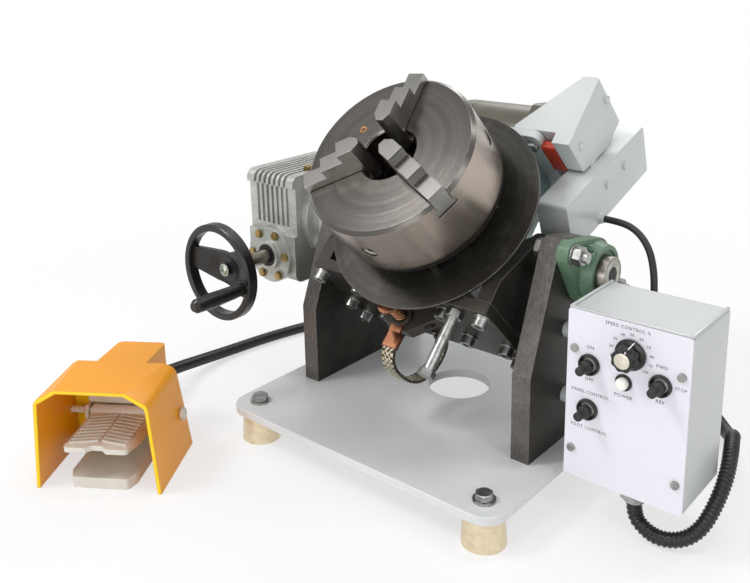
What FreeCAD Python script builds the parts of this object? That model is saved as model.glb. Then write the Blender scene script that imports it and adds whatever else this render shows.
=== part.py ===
"""Welding positioner: a tilting, motor driven three-jaw chuck on a bench stand.

Millimetres. The origin is at bench level under the middle of the four feet. +X runs from the
handwheel gearbox to the flange bearing, +Y to the back, +Z up. The tilting unit is drawn with its
spindle upright along Z and its tilt axis along X through the origin, then turned by TILT_AT_REST
and lifted to TILT_HEIGHT.
"""
import FreeCAD, Part
import math
import os

# Stand
BASE_WIDTH = 381.0
BASE_DEPTH = 428.0
BASE_THICK = 10.0
BASE_CORNER = 25.0
BASE_HOLE_R = 38.5
FOOT_HEIGHT = 36.0
FOOT_TOP_R = 21.0
FOOT_BOTTOM_R = 23.2
FOOT_INSET = 28.0
FOOT_BOLT_R = 5.0
BENCH_HOLE_R = 4.25
BENCH_HOLE_DEPTH = 18.0
SIDE_GAP = 284.0
SIDE_THICK = 22.0
SIDE_DEPTH = 212.0
SHOULDER_RISE = 98.0
APEX_ABOVE_AXIS = 45.0
TILT_HEIGHT = 234.0
TILT_AT_REST = 45.0

# Tilt drive
TRUNNION_R = 12.5
GEARBOX_WIDTH = 86.0
GEARBOX_DEPTH = 140.0
GEARBOX_HEIGHT = 144.0
GEARBOX_GAP = 48.0
WORM_DROP = 50.0
WORM_R = 11.5
WORM_SHAFT_R = 9.5
WHEEL_WIDTH = 26.0
MESH_GAP = 0.3
INPUT_COVER_R = 38.0
INPUT_COVER_THICK = 6.0
HANDWHEEL_R = 62.5
HANDWHEEL_RIM_R = 7.5
HANDWHEEL_BAND = 9.0
HANDWHEEL_REACH = 160.0
HANDLE_LENGTH = 74.0
HANDLE_R = 9.5

# Flange bearing
BEARING_SHAFT_R = 15.0
BEARING_FLANGE_THICK = 13.0
BEARING_LENGTH = 26.0
BEARING_DISC_R = 37.0
BEARING_LOBE_R = 14.0
BEARING_BOLT_SPAN = 114.0
BEARING_BOLT_R = 6.0
BEARING_BOLT_ANGLE = 146.6

# Cradle, as it lies with the spindle upright
ARM_OUTER_X = 122.0
ARM_THICK = 18.0
ARM_TOP = 74.0
ARM_BOSS_R = 28.0
CRADLE_OUT = 105.0
CRADLE_THICK = 12.7
CRADLE_LOW = -58.5
CRADLE_SCREW_R = 5.0

# Spindle drive
REDUCER_HALF = 75.0
REDUCER_BACK = 119.0
REDUCER_LOW = -60.0
REDUCER_TOP = 60.0
MOTOR_PLATE_THICK = 10.0
MOTOR_R = 52.5
MOTOR_BACK = 182.5
MOTOR_LOW = -63.0
INPUT_BACK = 72.5
INPUT_LOW = -10.0
DRIVE_SHAFT_R = 9.0
PULLEY_R = 22.0
BELT_THICK = 2.5
BELT_WIDTH = 15.0
GUARD_INNER_X = 97.0
GUARD_OUTER_X = 135.0
GUARD_WALL = 1.6

# Spindle and chuck
SPINDLE_R = 34.0
SPINDLE_BORE_R = 22.0
DISC_R = 129.0
DISC_LOW = 75.0
DISC_THICK = 3.0
STUD_R = 4.5
STUD_CIRCLE_R = 88.0
BACKPLATE_R = 96.0
BACKPLATE_THICK = 12.0
CHUCK_R = 100.0
CHUCK_LOW = 111.0
CHUCK_HEIGHT = 75.0
CHUCK_BORE_R = 32.5
SLOT_WIDTH = 26.0
JAW_WIDTH = 20.0
JAW_ANGLES = (95.5, 215.5, 335.5)
PINION_R = 10.0
RUNNING_FIT = 0.05
SLIDE_GAP = 0.3

# Ground brush and ground bolt
BRUSH_OUT = 121.5
BRUSH_ROD_R = 4.0
BRUSH_WASHER_R = 13.0
BRUSH_SPRING_R = 7.5
GROUND_BOLT_R = 6.0
GROUND_BOLT_X = 79.0
GROUND_BOLT_UP = 60.0

# Control box
BOX_WIDTH = 124.0
BOX_DEPTH = 89.0
BOX_HEIGHT = 180.0
BOX_LEFT = 203.0
BOX_FRONT = -102.6
BOX_BOTTOM = 52.8
BOX_WALL = 2.0
PANEL_THICK = 2.0

# Foot pedal
PEDAL_X = -215.2
PEDAL_Y = -381.2
PEDAL_TURN = 33.5
HOOD_HALF = 72.0
HOOD_HEIGHT = 120.0
HOOD_LENGTH = 108.0
HOOD_BACK_LEAN = 20.0
HOOD_WALL = 4.0
PEDAL_BASE_THICK = 13.0

# Cords
CONDUIT_R = 8.0
CABLE_R = 4.0

# What follows from the sizes above
V = FreeCAD.Vector
AXES = {"x": V(1, 0, 0), "y": V(0, 1, 0), "z": V(0, 0, 1)}
DECK = FOOT_HEIGHT + BASE_THICK
SIDE_INNER = SIDE_GAP / 2
SIDE_OUTER = SIDE_INNER + SIDE_THICK
ARM_INNER = ARM_OUTER_X - ARM_THICK
GEARBOX_RIGHT = -SIDE_OUTER - GEARBOX_GAP
GEARBOX_LEFT = GEARBOX_RIGHT - GEARBOX_WIDTH
WORM_X = (GEARBOX_LEFT + GEARBOX_RIGHT) / 2
WORM_Z = TILT_HEIGHT - WORM_DROP
GEARBOX_BOTTOM = WORM_Z - 34
WHEEL_R = WORM_DROP - WORM_R - MESH_GAP
DISC_TOP = DISC_LOW + DISC_THICK
CHUCK_TOP = CHUCK_LOW + CHUCK_HEIGHT
SUBPARTS = {}


def point(axis, along, at):
    """A point: 'along' on the named axis, 'at' on the other two in x, y, z order."""
    first, second = at
    if axis == "x":
        return V(along, first, second)
    if axis == "y":
        return V(first, along, second)
    return V(first, second, along)


def block(x, y, z):
    return Part.makeBox(x[1] - x[0], y[1] - y[0], z[1] - z[0], V(x[0], y[0], z[0]))


def rod(axis, at, radius, span):
    return Part.makeCylinder(radius, span[1] - span[0], point(axis, span[0], at), AXES[axis])


def tube(axis, at, outer, inner, span):
    return rod(axis, at, outer, span).cut(rod(axis, at, inner, span))


def taper(axis, at, first, last, span):
    return Part.makeCone(first, last, span[1] - span[0], point(axis, span[0], at), AXES[axis])


def outline(axis, along, points, radius=0):
    """A closed wire through the points, with its corners rounded."""
    places = [point(axis, along, p) for p in points]
    radii = radius if isinstance(radius, (list, tuple)) else [radius] * len(places)
    edges = []
    ends = []
    for i, corner in enumerate(places):
        back = (places[i - 1] - corner).normalize()
        ahead = (places[(i + 1) % len(places)] - corner).normalize()
        if radii[i] <= 0:
            ends.append((corner, corner))
            continue
        half = back.getAngle(ahead) / 2
        reach = radii[i] / math.tan(half)
        first, last = corner + back * reach, corner + ahead * reach
        inward = (back + ahead).normalize()
        middle = corner + inward * (radii[i] / math.sin(half) - radii[i])
        ends.append((first, last))
        edges.append(Part.Arc(first, middle, last).toShape())
    for i, (first, last) in enumerate(ends):
        start = ends[i - 1][1]
        if start.distanceToPoint(first) > 1e-6:
            edges.append(Part.LineSegment(start, first).toShape())
    return Part.Wire(Part.__sortEdges__(edges))


def flat(axis, points, span, radius=0):
    """A flat plate with the given outline, thick along the axis."""
    face = Part.Face(outline(axis, span[0], points, radius))
    return face.extrude(AXES[axis] * (span[1] - span[0]))


def oblong(low, high):
    """Corners of a rectangle from two opposite corners."""
    return [(low[0], low[1]), (high[0], low[1]), (high[0], high[1]), (low[0], high[1])]


def ring_points(count, radius, first=0.0, at=(0, 0)):
    """Points evenly spaced on a circle."""
    turns = [math.radians(first + 360 * i / count) for i in range(count)]
    return [(at[0] + radius * math.cos(a), at[1] + radius * math.sin(a)) for a in turns]


def turned(profile, axis="z", at=(0, 0)):
    """A body of revolution from (radius, height) points, about an axis."""
    wire = Part.makePolygon([V(r, 0, h) for r, h in profile + profile[:1]])
    solid = Part.Face(wire).revolve(V(0, 0, 0), V(0, 0, 1), 360)
    if axis == "x":
        solid.rotate(V(0, 0, 0), V(0, 1, 0), 90)
    if axis == "y":
        solid.rotate(V(0, 0, 0), V(1, 0, 0), -90)
    solid.translate(point(axis, 0, at))
    return solid


def hexagon(axis, at, across, span, first=0.0):
    """A hexagonal head or nut with chamfered corners."""
    corner_r = across / math.sqrt(3)
    head = flat(axis, ring_points(6, corner_r, first, at), span)
    bevel = 0.12 * across
    core = rod(axis, at, corner_r, (span[0] + bevel / 2, span[1] - bevel / 2))
    ends = [taper(axis, at, corner_r - bevel, corner_r, (span[0], span[0] + bevel / 2)),
            taper(axis, at, corner_r, corner_r - bevel, (span[1] - bevel / 2, span[1]))]
    return head.common(core.fuse(ends))


def socket_screw(axis, at, radius, seat, head_to, shank_to):
    """A cap screw: its head lies from seat to head_to, and its shank ends at shank_to."""
    head_span = sorted((seat, head_to))
    head = rod(axis, at, 1.55 * radius, head_span)
    depth = 0.5 * (head_to - seat)
    hole = flat(axis, ring_points(6, 0.95 * radius, 0, at), sorted((head_to - depth, head_to)))
    return head.cut(hole).fuse(rod(axis, at, radius, sorted((seat, shank_to))))


def hex_bolt(axis, at, radius, seat, head_to, shank_to):
    head = hexagon(axis, at, 3.4 * radius, sorted((seat, head_to)))
    return head.fuse(rod(axis, at, radius, sorted((seat, shank_to))))


def group(*solids):
    return Part.makeCompound([s for item in solids for s in item.Solids])


def tilted(shape):
    """Takes a piece drawn with the spindle upright to its place at rest."""
    copy = shape.copy()
    copy.rotate(V(0, 0, 0), AXES["x"], TILT_AT_REST)
    copy.translate(V(0, 0, TILT_HEIGHT))
    return copy


def keep(name, shape):
    SUBPARTS[name] = shape


def keep_tilted(name, shape):
    SUBPARTS[name] = tilted(shape)


# Stand: base plate, feet, side plates

FOOT_PLACES = [(sx * (BASE_WIDTH / 2 - FOOT_INSET), sy * (BASE_DEPTH / 2 - FOOT_INSET))
               for sx in (-1, 1) for sy in (-1, 1)]
SIDE_SCREW_Y = (-85.0, -30.0, 30.0, 85.0)
SIDE_SCREW_R = 5.0
SIDE_SCREW_PLACES = [(sx * (SIDE_INNER + SIDE_THICK / 2), y) for sx in (-1, 1) for y in SIDE_SCREW_Y]
HOLE_PLAY = 0.5


def base_plate():
    half_w, half_d = BASE_WIDTH / 2, BASE_DEPTH / 2
    plate = flat("z", oblong((-half_w, -half_d), (half_w, half_d)), (FOOT_HEIGHT, DECK), BASE_CORNER)
    plate = plate.cut(rod("z", (0, 0), BASE_HOLE_R, (FOOT_HEIGHT, DECK)))
    for at in FOOT_PLACES:
        plate = plate.cut(rod("z", at, FOOT_BOLT_R + HOLE_PLAY, (FOOT_HEIGHT, DECK)))
    for at in SIDE_SCREW_PLACES:
        plate = plate.cut(rod("z", at, SIDE_SCREW_R + HOLE_PLAY, (FOOT_HEIGHT, DECK)))
        plate = plate.cut(rod("z", at, 1.8 * SIDE_SCREW_R, (FOOT_HEIGHT, FOOT_HEIGHT + 6)))
    rims = [edge for edge in plate.Edges
            if edge.BoundBox.XLength > BASE_WIDTH / 2 or edge.BoundBox.YLength > BASE_DEPTH / 2]
    return plate.makeChamfer(0.8, rims)


def feet():
    solids = []
    for at in FOOT_PLACES:
        foot = taper("z", at, FOOT_BOTTOM_R, FOOT_TOP_R, (0, FOOT_HEIGHT))
        foot = foot.cut(rod("z", at, BENCH_HOLE_R, (0, BENCH_HOLE_DEPTH)))
        foot = foot.cut(rod("z", at, FOOT_BOLT_R, (FOOT_HEIGHT - 14, FOOT_HEIGHT)))
        solids.append(foot)
    return group(*solids)


def base_screws():
    """Hex bolts into the feet with their washers, and countersunk screws up into the side plates."""
    washer_top = DECK + 2
    solids = []
    for at in FOOT_PLACES:
        solids.append(tube("z", at, 12, FOOT_BOLT_R + 0.25, (DECK, washer_top)))
        solids.append(hex_bolt("z", at, FOOT_BOLT_R, washer_top, washer_top + 7, FOOT_HEIGHT - 13))
    for at in SIDE_SCREW_PLACES:
        head_seat = FOOT_HEIGHT + 6
        solids.append(socket_screw("z", at, SIDE_SCREW_R, head_seat, FOOT_HEIGHT + 0.5, DECK + 24))
    return group(*solids)


def side_outline():
    """Side plate from the side: upright front, a long front slope, a small flat, a rear slope."""
    front, back = -SIDE_DEPTH / 2, SIDE_DEPTH / 2
    apex = TILT_HEIGHT + APEX_ABOVE_AXIS
    shoulder = DECK + SHOULDER_RISE
    return [(front, DECK), (front, shoulder), (front / 2 - 2, apex - 6), (front / 2 + 8, apex),
            (front / 2 + 15, apex), (0, apex - 7.5), (62, TILT_HEIGHT + 5), (back, shoulder + 6),
            (back, DECK)]


def side_plate(sign):
    span = sorted((sign * SIDE_INNER, sign * SIDE_OUTER))
    plate = flat("x", side_outline(), span, [0, 2, 4, 3, 3, 20, 12, 4, 0])
    bore = BEARING_SHAFT_R + 6 if sign > 0 else TRUNNION_R + 7.5
    plate = plate.cut(rod("x", (0, TILT_HEIGHT), bore, span))
    for x, y in SIDE_SCREW_PLACES:
        if x * sign > 0:
            plate = plate.cut(rod("z", (x, y), SIDE_SCREW_R, (DECK, DECK + 26)))
    if sign > 0:
        for at in bearing_bolt_places():
            plate = plate.cut(rod("x", at, BEARING_BOLT_R + HOLE_PLAY, span))
        for at in BRACKET_SCREWS:
            plate = plate.cut(rod("x", at, BRACKET_SCREW_R, (SIDE_OUTER - 14, SIDE_OUTER)))
    else:
        for at in FLANGE_SCREWS:
            plate = plate.cut(rod("x", at, FLANGE_SCREW_R + HOLE_PLAY, span))
    return plate


# Tilt drive: worm gearbox, trunnions, handwheel

FLANGE_R = 62.0
FLANGE_SCREW_R = 5.0
FLANGE_SCREWS = ring_points(4, 46, 45, (0, TILT_HEIGHT))
COVER_SCREW_R = 3.0
COVER_SCREWS = ring_points(6, 31, 4, (WORM_X, WORM_Z))
GEARBOX_HALF = GEARBOX_DEPTH / 2
PLUG_AT = (WORM_X + 28, -22.0)
GEARBOX_TOP = GEARBOX_BOTTOM + GEARBOX_HEIGHT
HOUSING_WALL = 7.0
WHEEL_CAVITY_R = WHEEL_R + 3.0
WORM_CAVITY_R = WORM_R + 4.0
HUB_R = TRUNNION_R + 8.5


def gearbox_housing():
    """Cast worm gear housing with grooves down the front and over the top, and corner pads."""
    width = (GEARBOX_LEFT, GEARBOX_RIGHT)
    low, high = GEARBOX_BOTTOM, GEARBOX_TOP
    body = flat("x", oblong((-GEARBOX_HALF, low), (GEARBOX_HALF, high)), width, 12)
    waist = 5.0
    body = body.cut(block(width, (-GEARBOX_HALF - 1, -GEARBOX_HALF + waist), (WORM_Z + 30, high - 16)))
    body = body.cut(block(width, (GEARBOX_HALF - waist, GEARBOX_HALF + 1), (WORM_Z + 30, high - 16)))
    ribs = 7
    pitch = (GEARBOX_WIDTH - 22) / ribs
    for i in range(ribs):
        x0 = GEARBOX_LEFT + 11 + i * pitch
        groove = (x0 + 0.25 * pitch, x0 + 0.8 * pitch)
        body = body.cut(block(groove, (-GEARBOX_HALF - 1, -GEARBOX_HALF + waist + 4),
                              (WORM_Z + 40, high + 1)))
        body = body.cut(block(groove, (GEARBOX_HALF - waist - 4, GEARBOX_HALF + 1),
                              (WORM_Z + 40, high + 1)))
        body = body.cut(block(groove, (-GEARBOX_HALF - 1, GEARBOX_HALF + 1), (high - 6, high + 1)))
    for face in ((GEARBOX_LEFT, GEARBOX_LEFT + 4), (GEARBOX_RIGHT - 4, GEARBOX_RIGHT)):
        recess = rod("x", (0, TILT_HEIGHT), 56, face).cut(rod("x", (0, TILT_HEIGHT), 44, face))
        body = body.cut(recess)
    collar = rod("y", (WORM_X, WORM_Z), INPUT_COVER_R, (-GEARBOX_HALF, -GEARBOX_HALF + 20))
    body = body.fuse(collar)
    inside = (GEARBOX_LEFT + HOUSING_WALL + 8, GEARBOX_RIGHT - HOUSING_WALL - 8)
    body = body.cut(rod("x", (0, TILT_HEIGHT), WHEEL_CAVITY_R, inside))
    body = body.cut(rod("x", (0, TILT_HEIGHT), HUB_R + RUNNING_FIT, width))
    body = body.cut(rod("y", (WORM_X, WORM_Z), WORM_CAVITY_R, (-GEARBOX_HALF, 38)))
    body = body.cut(rod("y", (WORM_X, WORM_Z), WORM_SHAFT_R + RUNNING_FIT, (38, 56)))
    for at in COVER_SCREWS:
        body = body.cut(rod("y", at, COVER_SCREW_R, (-GEARBOX_HALF, -GEARBOX_HALF + 14)))
    for at in FLANGE_SCREWS:
        body = body.cut(rod("x", at, FLANGE_SCREW_R, (GEARBOX_RIGHT - 16, GEARBOX_RIGHT)))
    body = body.cut(rod("z", PLUG_AT, 9, (GEARBOX_TOP - 6, GEARBOX_TOP)))
    for y in (-GEARBOX_HALF + 14, GEARBOX_HALF - 14):
        for z in (low + 14, high - 14):
            body = body.cut(rod("x", (y, z), 4.2, (GEARBOX_LEFT, GEARBOX_LEFT + 12)))
    return body


def gearbox_flange():
    """Round cover with four lobes that bolts the gearbox to the left side plate."""
    span = (GEARBOX_RIGHT, -SIDE_OUTER)
    lobes = [rod("x", at, 12, span) for at in FLANGE_SCREWS]
    neck = rod("x", (0, TILT_HEIGHT), FLANGE_R - 18, span)
    ends = [rod("x", (0, TILT_HEIGHT), FLANGE_R - 6, (span[0], span[0] + 10)),
            rod("x", (0, TILT_HEIGHT), FLANGE_R, (span[1] - 10, span[1]))]
    cover = neck.fuse(lobes + ends)
    cover = cover.cut(rod("x", (0, TILT_HEIGHT), TRUNNION_R + 6, span))
    for at in FLANGE_SCREWS:
        cover = cover.cut(rod("x", at, FLANGE_SCREW_R + HOLE_PLAY, span))
    return cover


def input_cover():
    span = (-GEARBOX_HALF - INPUT_COVER_THICK, -GEARBOX_HALF)
    cover = rod("y", (WORM_X, WORM_Z), INPUT_COVER_R, span)
    cover = cover.fuse(rod("y", (WORM_X, WORM_Z), 20, (span[0] - 5, span[0])))
    cover = cover.cut(rod("y", (WORM_X, WORM_Z), WORM_SHAFT_R + RUNNING_FIT, (span[0] - 5, span[1])))
    for at in COVER_SCREWS:
        cover = cover.cut(rod("y", at, COVER_SCREW_R + HOLE_PLAY, span))
    return cover


def gearbox_screws():
    """Cover screws, the long screws through the side plate, and the filler plug."""
    face = -GEARBOX_HALF - INPUT_COVER_THICK
    solids = [hex_bolt("y", at, COVER_SCREW_R, face, face - 4, -GEARBOX_HALF + 13) for at in COVER_SCREWS]
    for at in FLANGE_SCREWS:
        solids.append(socket_screw("x", at, FLANGE_SCREW_R, -SIDE_INNER, -SIDE_INNER + 5,
                                   GEARBOX_RIGHT - 15))
    solids.append(hexagon("z", PLUG_AT, 14, (GEARBOX_TOP - 6, GEARBOX_TOP + 5)))
    return group(*solids)


def left_trunnion():
    """Shaft from the left arm through the side plate into the hollow worm wheel."""
    shaft = rod("x", (0, 0), TRUNNION_R, (GEARBOX_LEFT - 1, -ARM_INNER))
    collar = rod("x", (0, 0), TRUNNION_R + 5, (-SIDE_INNER + 2, -ARM_OUTER_X))
    return shaft.fuse(collar)


def worm_wheel():
    """Hollow wheel keyed on the trunnion, with a throat that clears the worm."""
    middle = WORM_X
    rim = (middle - WHEEL_WIDTH / 2, middle + WHEEL_WIDTH / 2)
    teeth = 30
    wheel = rod("x", (0, 0), WHEEL_R, rim)
    depth = 4.0
    gap = 0.42 * 2 * math.pi * WHEEL_R / teeth
    slot = block((rim[0], rim[1]), (-gap / 2, gap / 2), (WHEEL_R - depth, WHEEL_R + 1))
    slots = []
    for i in range(teeth):
        cutter = slot.copy()
        cutter.rotate(V(0, 0, 0), AXES["x"], 360 * (i + 0.5) / teeth)
        slots.append(cutter)
    wheel = wheel.cut(slots)
    hub = rod("x", (0, 0), HUB_R, (GEARBOX_LEFT, GEARBOX_RIGHT))
    return wheel.fuse(hub).cut(rod("x", (0, 0), TRUNNION_R, (GEARBOX_LEFT, GEARBOX_RIGHT)))


HANDWHEEL_HUB = (-HANDWHEEL_REACH + 12, -HANDWHEEL_REACH + 32)


def worm_shaft():
    at = (WORM_X, WORM_Z)
    shaft = rod("y", at, WORM_SHAFT_R, (HANDWHEEL_HUB[0] + 1, 54))
    shaft = shaft.cut(rod("y", at, WORM_SHAFT_R + 1, (HANDWHEEL_HUB[0], HANDWHEEL_HUB[1]))
                      .cut(rod("y", at, 7, (HANDWHEEL_HUB[0], HANDWHEEL_HUB[1]))))
    worm = rod("y", at, WORM_R, (-32, 32))
    pitch = 8.0
    grooves = []
    for i in range(7):
        mid = -28 + i * pitch
        ring = turned([(WORM_R + 0.5, mid - 2.6), (WORM_R - 1.8, mid - 1.2), (WORM_R - 1.8, mid + 1.2),
                       (WORM_R + 0.5, mid + 2.6)], "y", at)
        grooves.append(ring)
    return shaft.fuse(worm).cut(grooves)


HANDLE_TURN = 10.2
HANDLE_AT = (WORM_X + 50, WORM_Z - 9)
HANDLE_SEAT = -HANDWHEEL_REACH - HANDWHEEL_RIM_R - 1.5
HANDLE_PIN_R = 4.0


def handwheel():
    """Flat banded rim with a dished web across it, set forward of its hub."""
    at = (WORM_X, WORM_Z)
    inner = HANDWHEEL_R - HANDWHEEL_BAND
    front, back = -HANDWHEEL_REACH - HANDWHEEL_RIM_R, -HANDWHEEL_REACH + HANDWHEEL_RIM_R
    hub_front, hub_back = HANDWHEEL_HUB
    wheel = turned([(0, hub_front), (16, hub_front), (19, hub_front - 1), (30, hub_front - 5),
                    (inner, front + 8),
                    (inner, front + 1), (inner + 1, front), (HANDWHEEL_R - 1.5, front),
                    (HANDWHEEL_R, front + 1.5),
                    (HANDWHEEL_R, back - 1.5), (HANDWHEEL_R - 1.5, back), (inner + 1, back),
                    (inner, back - 1),
                    (30, hub_front + 2), (19, hub_front + 7), (19, hub_back), (0, hub_back)], "y", at)
    web = flat("y", [(-HANDWHEEL_R, -13), (-14, -20), (14, -20), (HANDWHEEL_R, -13),
                     (HANDWHEEL_R, 13), (14, 20), (-14, 20), (-HANDWHEEL_R, 13)],
               (front - 1, hub_back + 1), [0, 20, 20, 0, 0, 20, 20, 0])
    web.rotate(V(0, 0, 0), AXES["y"], HANDLE_TURN)
    web.translate(V(WORM_X, 0, WORM_Z))
    gaps = tube("y", at, inner, 20, (front - 1, hub_back + 1)).cut(web)
    wheel = wheel.cut(gaps)
    wheel = wheel.fuse(rod("y", HANDLE_AT, HANDLE_R + 1, (HANDLE_SEAT, front + 6)))
    wheel = wheel.cut(rod("y", at, 7, (hub_front - 1, hub_back + 1)))
    wheel = wheel.cut(rod("y", HANDLE_AT, HANDLE_PIN_R, (front - 2, front + 6)))
    screw = hexagon("y", at, 12, (hub_front - 5, hub_front - 1)).fuse(rod("y", at, 10,
                                                                          (hub_front - 1, hub_front)))
    pin = rod("y", HANDLE_AT, HANDLE_PIN_R, (HANDLE_SEAT - HANDLE_LENGTH + 6, front + 6))
    return group(wheel, screw, pin)


def handwheel_handle():
    near = HANDLE_SEAT - SLIDE_GAP
    far = near - HANDLE_LENGTH
    grip = turned([(0, near), (HANDLE_R - 2, near), (HANDLE_R - 1, near - 0.2 * HANDLE_LENGTH),
                   (HANDLE_R, near - 0.65 * HANDLE_LENGTH), (HANDLE_R - 1, far + 4),
                   (HANDLE_R - 4, far), (0, far)], "y", HANDLE_AT)
    return grip.cut(rod("y", HANDLE_AT, HANDLE_PIN_R + RUNNING_FIT, (far + 6 - SLIDE_GAP, near + 1)))


# Flange bearing on the right


def bearing_bolt_places():
    """Two holes on the long axis of the flange, which leans up to the front."""
    turn = math.radians(BEARING_BOLT_ANGLE)
    reach = BEARING_BOLT_SPAN / 2
    return [(sign * reach * math.cos(turn), TILT_HEIGHT + sign * reach * math.sin(turn))
            for sign in (1, -1)]


BEARING_RACE_R = 26.0


def bearing_housing():
    """Rhombic cast flange with a barrel, the insert bearing's rings, and a grease nipple."""
    turn = math.radians(BEARING_BOLT_ANGLE)
    span = (SIDE_OUTER, SIDE_OUTER + BEARING_FLANGE_THICK)
    reach = BEARING_BOLT_SPAN / 2
    lean = math.acos((BEARING_DISC_R - BEARING_LOBE_R) / reach)
    ends = [rod("x", at, BEARING_LOBE_R, span) for at in bearing_bolt_places()]
    disc = rod("x", (0, TILT_HEIGHT), BEARING_DISC_R, span)
    webs = []
    for side in (1, -1):
        tangents = []
        for centre, radius in ((side * reach, BEARING_LOBE_R), (0, BEARING_DISC_R)):
            for sign in (1, -1):
                angle = turn + sign * (lean if side > 0 else math.pi - lean)
                tangents.append((centre * math.cos(turn) + radius * math.cos(angle),
                                 TILT_HEIGHT + centre * math.sin(turn) + radius * math.sin(angle)))
        webs.append(flat("x", [tangents[0], tangents[1], tangents[3], tangents[2]], span))
    flange = disc.fuse(ends + webs)
    barrel_end = SIDE_OUTER + BEARING_LENGTH
    barrel = taper("x", (0, TILT_HEIGHT), BEARING_DISC_R - 3, BEARING_DISC_R - 6, (span[1], barrel_end))
    nipple_seat = rod("x", (-21, TILT_HEIGHT + 24), 6, (span[1] - 2, barrel_end - 2))
    housing = flange.fuse([barrel, nipple_seat])
    housing = housing.cut(rod("x", (0, TILT_HEIGHT), BEARING_RACE_R, (span[0], barrel_end)))
    for at in bearing_bolt_places():
        housing = housing.cut(rod("x", at, BEARING_BOLT_R + HOLE_PLAY, span))
    outer_ring = tube("x", (0, TILT_HEIGHT), BEARING_RACE_R, BEARING_RACE_R - 5,
                      (span[0] + 4, barrel_end - 3))
    nipple = rod("z", (SIDE_OUTER + 18, -21), 3, (TILT_HEIGHT + 28, TILT_HEIGHT + 36))
    nipple = nipple.fuse(rod("z", (SIDE_OUTER + 18, -21), 4.5, (TILT_HEIGHT + 31, TILT_HEIGHT + 34)))
    return group(housing.cut(nipple), outer_ring, nipple)


def bearing_bolts():
    """Bolts with their heads inside, and washers and nuts on the flange."""
    face = SIDE_OUTER + BEARING_FLANGE_THICK
    solids = []
    for at in bearing_bolt_places():
        solids.append(hex_bolt("x", at, BEARING_BOLT_R, SIDE_INNER, SIDE_INNER - 7, face + 17))
        solids.append(tube("x", at, 11.5, BEARING_BOLT_R + 0.25, (face, face + 2)))
        nut = hexagon("x", at, 18.5, (face + 2, face + 12))
        solids.append(nut.cut(rod("x", at, BEARING_BOLT_R, (face, face + 14))))
    return group(*solids)


def right_trunnion():
    """Shaft from the right arm, the bearing's inner ring on it, and the ring's set screw."""
    inner_end = SIDE_OUTER + BEARING_LENGTH + 8
    shaft = rod("x", (0, 0), BEARING_SHAFT_R, (ARM_INNER, inner_end))
    collar = rod("x", (0, 0), BEARING_SHAFT_R + 4, (ARM_OUTER_X, SIDE_INNER - 2))
    shaft = shaft.fuse(collar)
    race = BEARING_RACE_R - 5 - RUNNING_FIT
    ring = turned([(BEARING_SHAFT_R, SIDE_OUTER + 4), (race, SIDE_OUTER + 4),
                   (race, SIDE_OUTER + BEARING_LENGTH - 3), (race - 1, inner_end),
                   (BEARING_SHAFT_R, inner_end)], "x")
    screw = rod("z", (inner_end - 5, 0), 3, (BEARING_SHAFT_R, race + 0.5))
    return group(shaft, ring.cut(screw), screw)


# Control box on the right

BRACKET_SCREW_R = 4.0
BRACKET_SCREWS = [(-34.0, 100.0), (-34.0, 176.0)]
BOX_RIGHT = BOX_LEFT + BOX_WIDTH
BOX_BACK = BOX_FRONT + BOX_DEPTH
BOX_TOP = BOX_BOTTOM + BOX_HEIGHT
KNOB_AT = (269.1, 202.0)
KNOB_R = 12.5
KNOB_LENGTH = 15.0
TOGGLE_PLACES = [(227.4, 179.3), (299.6, 179.5), (227.4, 131.5)]
LAMP_AT = (263.3, 171.4)
PANEL_SCREWS = [(BOX_LEFT + 8, 192.5), (BOX_RIGHT - 8, 193.5), (BOX_LEFT + 8, 84.0),
                (BOX_RIGHT - 8, 84.0)]
SHAFT_R = 3.0
BUSH_R = 6.0
BUSH_PROUD = 4.2
TOGGLE_PIVOT_Y = BOX_FRONT + 2.0
TOGGLE_PIN = (1.2, 3.3)
CONNECTOR_AT = (271.0, -81.0)
CONNECTOR_END = 38.0
CABLE_AT = (222.0, 155.0)
CABLE_GLAND = 12.0


def control_box():
    """Sheet steel enclosure, open at the front."""
    front = BOX_FRONT + PANEL_THICK
    width, height = (BOX_LEFT, BOX_RIGHT), (BOX_BOTTOM, BOX_TOP)
    shell = flat("y", oblong((width[0], height[0]), (width[1], height[1])), (front, BOX_BACK), 3)
    inner = block((width[0] + BOX_WALL, width[1] - BOX_WALL), (front - 1, BOX_BACK - BOX_WALL),
                  (height[0] + BOX_WALL, height[1] - BOX_WALL))
    shell = shell.cut(inner)
    for x, z in PANEL_SCREWS:
        side = BOX_LEFT + BOX_WALL if x < (BOX_LEFT + BOX_RIGHT) / 2 else BOX_RIGHT - BOX_WALL
        lug = block(sorted((side, x + (5 if x > side else -5))), (front, front + 10), (z - 5, z + 5))
        shell = shell.fuse(lug).cut(rod("y", (x, z), 2, (front, front + 10)))
    shell = shell.cut(rod("z", CONNECTOR_AT, 10, (BOX_BOTTOM, BOX_BOTTOM + BOX_WALL)))
    shell = shell.cut(rod("y", CABLE_AT, 6, (BOX_BACK - BOX_WALL, BOX_BACK)))
    for y, z in BRACKET_SCREWS:
        shell = shell.cut(rod("x", (y, z), BRACKET_SCREW_R + HOLE_PLAY, (BOX_LEFT, BOX_LEFT + BOX_WALL)))
    return shell


def control_panel():
    span = (BOX_FRONT, BOX_FRONT + PANEL_THICK)
    panel = flat("y", oblong((BOX_LEFT, BOX_BOTTOM), (BOX_RIGHT, BOX_TOP)), span, 3)
    holes = [rod("y", KNOB_AT, 4, span), rod("y", LAMP_AT, 5, span)]
    holes += [rod("y", at, BUSH_R, span) for at in TOGGLE_PLACES]
    holes += [rod("y", at, 2 + 0.2, span) for at in PANEL_SCREWS]
    return panel.cut(holes)


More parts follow.
